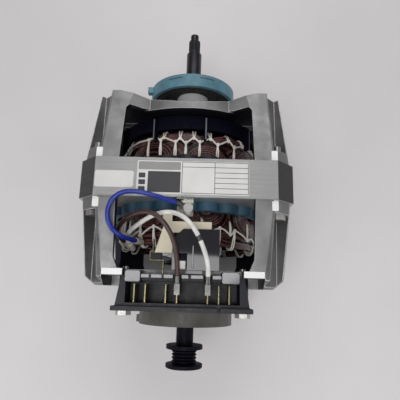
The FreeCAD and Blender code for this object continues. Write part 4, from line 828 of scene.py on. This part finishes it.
def add_lacing(name, side, shown, crest, tail):
    """One end's lacing, up to the crown's crest, with tails that end beside the slots."""
    chance = random.Random(LACE_SEED + side)
    knots = whole_lace(shown, chance)
    lines = [smooth_line([lace_point(angle, distance, side, chance.uniform(0.0, 0.25))
                          for kind, angle, distance in knots], steps=4)]
    for kind, angle, distance in knots[:-1]:
        if kind == "high":
            for hand in (-1, 1):
                spread = hand * chance.uniform(0.7, 1.3)
                loop = [at_angle(LACE_RADIUS - inward, angle + spread * share,
                                 side * (crest + rise)) for inward, share, rise in LOOP]
                middle = lace_point(angle + spread * 0.7, (distance + crest) / 2, side)
                lines.append(smooth_line([lace_point(angle, distance, side), middle, *loop]))
        elif kind == "low":
            for hand in (-1, 1):
                spread = hand * chance.uniform(0.4, 0.8)
                middle = lace_point(angle + spread, (distance + tail) / 2, side, -0.1)
                end = lace_point(angle + spread * 0.4 + chance.uniform(-0.5, 0.5),
                                 tail + chance.uniform(0.0, 1.5), side, -0.5)
                lines.append(smooth_line([lace_point(angle, distance, side), middle, end]))
        if kind != "turn":
            here = np.asarray(lace_point(angle, distance, side, 0.1))
            around = []
            for step in range(KNOT_STEPS + 1):
                turn = math.tau * step / KNOT_STEPS
                around.append(here + (KNOT_ACROSS * math.cos(turn), KNOT_ALONG * math.sin(turn),
                                      KNOT_DEEP * math.sin(2 * turn)))
            lines.append(smooth_line(around, steps=2))
    radii = [CORD / 2] + [CORD / 2 * TAIL_SHARE] * (len(lines) - 1)
    points, faces = sweep(lines, radii, CORD_SIDES)
    add_mesh(name, points, faces, "white_insulation", look=lacing)


# Shaft: the turned bar with its left-hand thread

SHAFT_FRONT = ((4.25, -124.0), (4.75, -123.5), (4.75, -95.0), (6.35, -95.0), (6.35, 94.0),
               (5.95, 94.0), (5.95, 95.2), (6.35, 95.2), (6.35, 131.4), (5.63, 132.6),
               (4.30, 132.6), (4.30, 134.2))
SHAFT_TIP = ((3.45, 145.0), (3.45, 150.2), (2.95, 150.7))
THREAD_START = 134.2
THREAD_END = 145.0
THREAD_ROOT = 4.25
THREAD_CREST = 4.95
THREAD_PITCH = 1.5
THREAD_CUT = 1.4
THREAD_FADE = 0.8
THREAD_ROWS = 72
SHAFT_SEGMENTS = 64


def thread_radius(place, share):
    """The radius of the thread at a place along Y and a share of one turn."""
    phase = (place / THREAD_PITCH + share) % 1.0
    rise = min(1.0, THREAD_CUT * (1.0 - abs(2.0 * phase - 1.0)))
    fade = min(1.0, (THREAD_END - place) / THREAD_FADE, (place - THREAD_START) / THREAD_FADE)
    return THREAD_ROOT + (THREAD_CREST - THREAD_ROOT) * rise * max(0.0, fade)


def add_shaft():
    """The shaft, row by row from the pulley's end, with its thread."""
    rows = [[(radius, place)] * SHAFT_SEGMENTS for radius, place in SHAFT_FRONT]
    for row in range(THREAD_ROWS + 1):
        place = THREAD_START + (THREAD_END - THREAD_START) * row / THREAD_ROWS
        rows.append([(thread_radius(place, step / SHAFT_SEGMENTS), place)
                     for step in range(SHAFT_SEGMENTS)])
    rows += [[(radius, place)] * SHAFT_SEGMENTS for radius, place in SHAFT_TIP]
    points = [at_angle(radius, 360.0 * step / SHAFT_SEGMENTS, place)
              for row in rows for step, (radius, place) in enumerate(row)]
    faces = [list(range(SHAFT_SEGMENTS))]
    last = (len(rows) - 1) * SHAFT_SEGMENTS
    faces.append([last + step for step in reversed(range(SHAFT_SEGMENTS))])
    for row in range(len(rows) - 1):
        for step in range(SHAFT_SEGMENTS):
            following = (step + 1) % SHAFT_SEGMENTS
            low = row * SHAFT_SEGMENTS
            high = low + SHAFT_SEGMENTS
            faces.append([low + following, low + step, high + step, high + following])
    piece = add_mesh("threaded_shaft", points, faces, "black_oxide", ROTOR_BODY)
    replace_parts(piece, "shaft")


# Fan: painted highlights along the tips of its blades, each a line of places along Y and radii

BLADES = 10
BLADE_TURN = 11.7
BLADE_TIP = ((30.7, 58.75), (46.3, 58.75), (49.1, 55.4))
TIP_HALF = 0.5
TIP_RISE = 0.1


def blade_tip(turn):
    """A thin strip along the tip of one blade."""
    across = np.asarray(at_angle(TIP_HALF, turn + 90.0, 0.0))
    points = []
    for place, radius in BLADE_TIP:
        for rise, hand in ((0.0, -1), (0.0, 1), (TIP_RISE, 1), (TIP_RISE, -1)):
            points.append(np.asarray(at_angle(radius + rise, turn, place)) + hand * across)
    faces = [[0, 1, 2, 3], [11, 10, 9, 8]]
    for low in (0, 4):
        for corner in range(4):
            beside = (corner + 1) % 4
            faces.append([low + beside, low + corner, low + 4 + corner, low + 4 + beside])
    return points, faces


def add_blade_tips():
    """Painted highlights along the tips of all the blades."""
    tips = [blade_tip(BLADE_TURN + 360.0 * blade / BLADES) for blade in range(BLADES)]
    add_mesh("blade_tips", *joined(tips), "fan_plastic", ROTOR_BODY, blade_highlight)


# Rubber, felt and springs

CUSHION = (
    (31.3, 85.65), (31.65, 86.0), (31.65, 90.35), (25.85, 90.35), (25.85, 92.3),
    (21.6, 92.3, -0.7), (15.8, 92.3, -0.7), (13.1, 92.3), (13.1, 88.7), (15.8, 88.7, 0.7),
    (21.6, 88.7, 0.7), (23.9, 88.7), (24.1, 86.0), (24.5, 85.65),
)
CUSHION_RIBS = 16
CUSHION_SEGMENTS = 144
WICK = (
    (8.9, 61.6), (9.35, 62.3), (9.35, 66.7), (8.9, 67.4), (8.0, 67.45, -0.5), (7.3, 67.4),
    (6.9, 66.9), (6.9, 62.1), (7.3, 61.6), (8.0, 61.55, 0.5),
)
WICK_RIBS = 9
WICK_SEGMENTS = 72
PIN_SIDE = 22.0
PIN_DEPTH = 40.0
SPRING_RADIUS = 2.3
SPRING_WIRE = 0.7
SPRING_START = 10.0
SPRING_RISE = 3.12
SPRING_TURNS = 2.5
SPRING_STEPS = 60
SPRING_SIDES = 10


def mirrored(profile, side):
    """An outline on the rear side (1) or the front side (-1)."""
    if side > 0:
        return profile
    return [(radius, -place, *(-height for height in rib)) for radius, place, *rib
            in reversed(profile)]


def add_soft_pieces():
    """Ribbed cushions, felts and the governor's coil springs."""
    for end, side in (("rear", 1), ("front", -1)):
        points, faces = lathe(mirrored(CUSHION, side), CUSHION_SEGMENTS, CUSHION_RIBS)
        piece = add_mesh(end + "_cushion", points, faces, "black_rubber")
        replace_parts(piece, end + "_mount_cushion")
    wicks = joined([lathe(mirrored(WICK, side), WICK_SEGMENTS, WICK_RIBS) for side in (1, -1)])
    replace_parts(add_mesh("felt_wicks", *wicks, "felt"), "bearing_wicks")
    coils = []
    for hand in (-1, 1):
        coil = []
        for step in range(SPRING_STEPS + 1):
            share = step / SPRING_STEPS
            turn = math.tau * SPRING_TURNS * share
            rise = share - math.sin(math.tau * share) / (math.tau * 3)
            coil.append((PIN_SIDE * hand + SPRING_RADIUS * math.cos(turn),
                         -PIN_DEPTH + SPRING_RADIUS * math.sin(turn),
                         SPRING_START + SPRING_RISE * rise))
        coils.append(coil)
    points, faces = sweep(coils, [SPRING_WIRE / 2] * 2, SPRING_SIDES)
    piece = add_mesh("pin_springs", points, faces, "spring_steel", ROTOR_BODY)
    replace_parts(piece, "governor_springs")


# Surface detail, painted highlights and painted shade on the cast and moulded pieces. A
# plate: left, right, front, rear, the radius of its corners, bottom and top. A slit's painted
# shade: two radii and two places along Y

HANDS = (-1, 1)
# Near-white faces with painted light: the hub, the bay bars and the foot pads
HUB_SKIN = ((13.02, 62.5), (13.02, 88.3), (12.9, 88.3), (12.9, 62.5))
HUB_SEGMENTS = 96
BAR_ACROSS = (37.2, 49.8)
BAR_ALONG = (-60.9, -57.1)
BAR_UP = (65.0, 65.06)
PAD_ACROSS = (54.3, 58.3)
PAD_ALONG = (13.0, 19.6)
PAD_UP = (66.0, 68.32)
PAD_CORNER = 0.4
SLIT = (34.3, 34.53, 90.2, 91.0)
SLIT_STARTS = (-32.0, 10.0)
SLIT_LENGTH = 20.0
SLIT_STEPS = 16
# Painted reflections: grey caps on the switch's glossy black blocks
HIGHLIGHT_CAPS = (
    (-35.0, -25.8, -64.8, -58.2, 1.2, 66.0, 66.3), (23.9, 34.4, -64.8, -58.2, 1.2, 66.0, 66.3),
    (-25.4, -20.6, -62.3, -60.2, 0.4, 65.0, 65.2), (-19.4, -12.8, -62.3, -60.2, 0.4, 65.0, 65.2),
    (-11.6, -6.0, -62.3, -60.2, 0.4, 65.0, 65.2), (-0.6, 3.4, -62.3, -60.2, 0.4, 65.0, 65.2),
    (5.0, 12.4, -62.3, -60.2, 0.4, 65.0, 65.2), (18.2, 23.5, -62.3, -60.2, 0.4, 65.0, 65.2),
)
NOTCH_SHADE = (
    (-3.1, 2.3, -48.99, -47.01, 0.0, 64.8, 64.82), (-3.1, 2.3, -56.9, -49.0, 0.0, 66.0, 66.02),
)
NOTCH_CHIP = (-2.2, 1.4, -56.5, -51.8, 0.3, 66.02, 66.3)
# Painted highlight along the top of the cover's fin
FIN_EDGE = (5.45, 6.15, -55.9, -42.5, 0.1, 67.6, 67.62)


def arc_strip(inner, outer, near, far, start, end):
    """A strip round the shaft's axis between two radii, two places and two angles."""
    points = []
    faces = []
    for step in range(SLIT_STEPS + 1):
        turn = start + (end - start) * step / SLIT_STEPS
        points += [at_angle(inner, turn, near), at_angle(outer, turn, near),
                   at_angle(outer, turn, far), at_angle(inner, turn, far)]
    for step in range(SLIT_STEPS):
        for corner in range(4):
            beside = (corner + 1) % 4
            low = step * 4
            faces.append([low + 4 + corner, low + 4 + beside, low + beside, low + corner])
    faces.append([0, 1, 2, 3])
    last = SLIT_STEPS * 4
    faces.append([last + 3, last + 2, last + 1, last])
    return points, faces


def plate(*sizes):
    """A prism over a rounded rectangle: left, right, front, rear, corner, bottom and top."""
    return prism(rounded(*sizes[:5]), *sizes[5:])


def mirrored_span(low, high, hand):
    """A span along an axis, or its mirror image where the hand is -1."""
    return (low, high) if hand > 0 else (-high, -low)


def add_details():
    """The turned hub with a painted reflection, painted highlights on the shields' bars and
    pads, painted shade in the rear ring's slits, and on the switch painted highlights,
    painted shade in the cover's notch and a pale chip.
    """
    # Painted reflection: the turned hub in near-white
    add_mesh("hub_face", *lathe(HUB_SKIN, HUB_SEGMENTS), "die_cast", look=highlight_metal)
    # Painted highlights: near-white faces on the bay bars and foot pads
    bars = [plate(*mirrored_span(*BAR_ACROSS, hand), *BAR_ALONG, 0.0, *BAR_UP)
            for hand in HANDS]
    add_mesh("bay_bar_faces", *joined(bars), "die_cast", look=highlight_metal)
    pads = [plate(*mirrored_span(*PAD_ACROSS, hand), *mirrored_span(*PAD_ALONG, end),
                  PAD_CORNER, *mirrored_span(*PAD_UP, side))
            for hand in HANDS for end in HANDS for side in HANDS]
    add_mesh("foot_pads", *joined(pads), "die_cast", look=highlight_metal)
    # Painted shade: dark strips on the ring stand in for the shade in its slits
    slits = [arc_strip(*SLIT, start, start + SLIT_LENGTH) for start in SLIT_STARTS]
    add_mesh("ring_slit_shade", *joined(slits), "teal_steel", look=dark_print_and_shade)
    # Painted reflections on the switch's blocks
    caps = [plate(*cap) for cap in HIGHLIGHT_CAPS]
    add_mesh("switch_caps", *joined(caps), "black_moulding", look=highlight_black)
    shade = [plate(*part) for part in NOTCH_SHADE]
    add_mesh("cover_notch_shade", *joined(shade), "black_moulding", look=pulley_black)
    add_mesh("cover_notch_chip", *plate(*NOTCH_CHIP), "black_moulding", look=chip_white)
    # Painted highlight: a pale strip on the fin's top
    add_mesh("cover_fin_edge", *plate(*FIN_EDGE), "black_moulding", look=fin_highlight)


# Stickers: plain cells, ruled but without lettering. A rectangle: left, right, front, rear
# and the radius of its corners; heights: under the sheet, on it and on its print

SHEET = 70.0
PRINT = 70.12
PRINT_TOP = 70.14
RATING = (-31.0, 39.7, -11.1, 10.5, 0.8)
TAG = (-57.5, -33.0, -7.3, 3.5, 1.4)
HEADER = (-30.2, -3.4, 4.6, 9.9, 0.4)
BLOCKS = (
    (-24.0, -3.4, -10.0, 3.6, 0.4), (-29.8, -25.6, -9.6, -6.4, 0.5),
    (-29.8, -25.6, -5.2, -2.0, 0.5), (-29.8, -25.6, -0.8, 2.4, 0.5),
)
RULE = 0.35
RULES_FRONT = -10.4
RULES_REAR = 9.9
LEVEL_RULES = (
    (-2.6, 18.0, (9.9, 6.6, -10.4)), (18.0, 39.0, (9.9, 6.6, -10.4)),
    (18.0, 39.0, (3.2, -0.2, -3.6, -7.0)),
)
UPRIGHT_RULES = (-2.6, 18.0, 39.0)


def add_stickers():
    """Both stickers as thin sheets with printed frames and blocks."""
    rating = prism(rounded(*RATING), SHEET, PRINT)
    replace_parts(add_mesh("rating_sheet", *rating, "label_paper"), "rating_label")
    tag = prism(rounded(*TAG), SHEET, PRINT)
    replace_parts(add_mesh("tag_sheet", *tag, "label_paper"), "tag_label")
    outlines = [rounded(*block) for block in BLOCKS]
    for left, right, places in LEVEL_RULES:
        outlines += [rounded(left, right, place, place + RULE) for place in places]
    for across in UPRIGHT_RULES:
        outlines.append(rounded(across, across + RULE, RULES_FRONT, RULES_REAR + RULE))
    marks = [prism(outline, PRINT, PRINT_TOP) for outline in outlines]
    add_mesh("sticker_blocks", *joined(marks), "label_paper", look=dark_print_and_shade)
    header = prism(rounded(*HEADER), PRINT, PRINT_TOP)
    add_mesh("sticker_header", *header, "label_paper", look=print_grey)


# Leads

LEAD_ROUNDNESS = 6
LEAD_STEPS = 10
BLUE_LEAD = [
    (-5.6, -16.1, 69.1), (-12.4, -14.7, 72.5), (-19.8, -13.0, 74.8), (-26.6, -11.5, 75.8),
    (-33.4, -11.0, 75.9), (-39.6, -12.2, 75.4), (-44.4, -15.8, 74.6), (-46.8, -21.4, 73.6),
    (-46.9, -27.6, 72.6), (-44.8, -33.2, 70.8), (-40.6, -36.8, 65.8), (-36.4, -38.1, 58.4),
    (-32.2, -38.5, 51.0),
]
BROWN_LEAD = [
    (-41.4, -38.2, 42.2), (-43.6, -36.4, 45.4), (-45.2, -33.6, 50.2), (-43.4, -30.4, 56.4),
    (-38.8, -27.0, 62.2), (-32.6, -24.2, 68.0), (-25.8, -22.9, 73.0), (-18.8, -24.1, 76.0),
    (-13.0, -28.6, 76.6), (-8.4, -34.6, 75.2), (-5.4, -41.6, 72.8), (-3.9, -48.6, 70.2),
    (-3.3, -55.4, 68.3), (-3.3, -60.6, 66.8),
]
WHITE_LEAD = [
    (-37.2, -40.0, 44.2), (-38.4, -37.4, 49.4), (-36.8, -33.6, 54.6), (-32.0, -30.2, 59.0),
    (-26.0, -26.8, 62.6), (-19.8, -23.8, 66.2), (-13.0, -22.3, 69.4), (-6.2, -22.9, 71.8),
    (-0.4, -25.6, 73.2), (4.6, -30.2, 73.4), (8.6, -36.4, 72.6), (11.8, -43.2, 71.2),
    (14.2, -50.0, 69.6), (15.3, -56.2, 68.2), (15.3, -60.6, 66.8),
]


def add_lead(name, node, points, length, slot):
    """A lead as a smooth line through its points."""
    data = bpy.data.curves.new(name, "CURVE")
    data.dimensions = "3D"
    data.bevel_depth = LEAD_WIDTH / 2 * MM
    data.bevel_resolution = LEAD_ROUNDNESS
    data.resolution_u = LEAD_STEPS
    data.use_fill_caps = True
    spline = data.splines.new("NURBS")
    spline.points.add(len(points) - 1)
    for control, point in zip(spline.points, points):
        control.co = (*(Vector(point) * MM), 1.0)
    spline.order_u = 3
    spline.use_endpoint_u = True
    data.materials.append(materials[slot])
    lead = bpy.data.objects.new(name, data)
    bpy.context.scene.collection.objects.link(lead)
    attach(lead, FRAME_BODY)
    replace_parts(lead, node)


# Each lead's name, its node, its points, its length and its slot

LEADS = (
    ("blue_wire", "blue_lead", BLUE_LEAD, 84.5, "blue_insulation"),
    ("brown_wire", "brown_lead", BROWN_LEAD, 93.1, "brown_insulation"),
    ("white_wire", "white_lead", WHITE_LEAD, 96.7, "white_insulation"),
)

MARK_POINT = 10
MARK_START = 0.55
MARK_THICK = 0.06
MARK_STEPS = 8
MARK_SIDES = 20


def add_mark(points):
    """The black band round the white lead, on its curve beside one of its points."""
    corner = np.asarray(points[MARK_POINT])
    before = (np.asarray(points[MARK_POINT - 1]) + corner) / 2
    after = (np.asarray(points[MARK_POINT + 1]) + corner) / 2
    line = []
    for share in np.linspace(MARK_START, 1.0, MARK_STEPS):
        rest = 1.0 - share
        line.append(rest ** 2 * before + 2 * share * rest * corner + share ** 2 * after)
    band = sweep([line], [LEAD_WIDTH / 2 + MARK_THICK], MARK_SIDES)
    add_mesh("lead_mark", *band, "white_insulation", look=dark_print_and_shade)


add_camera()
add_studio()
dress_solids()
for lead in LEADS:
    add_lead(*lead)
add_windings()
for winding_lace in LACINGS:
    add_lacing(*winding_lace)
add_mark(WHITE_LEAD)
add_shaft()
add_blade_tips()
add_soft_pieces()
add_details()
add_stickers()
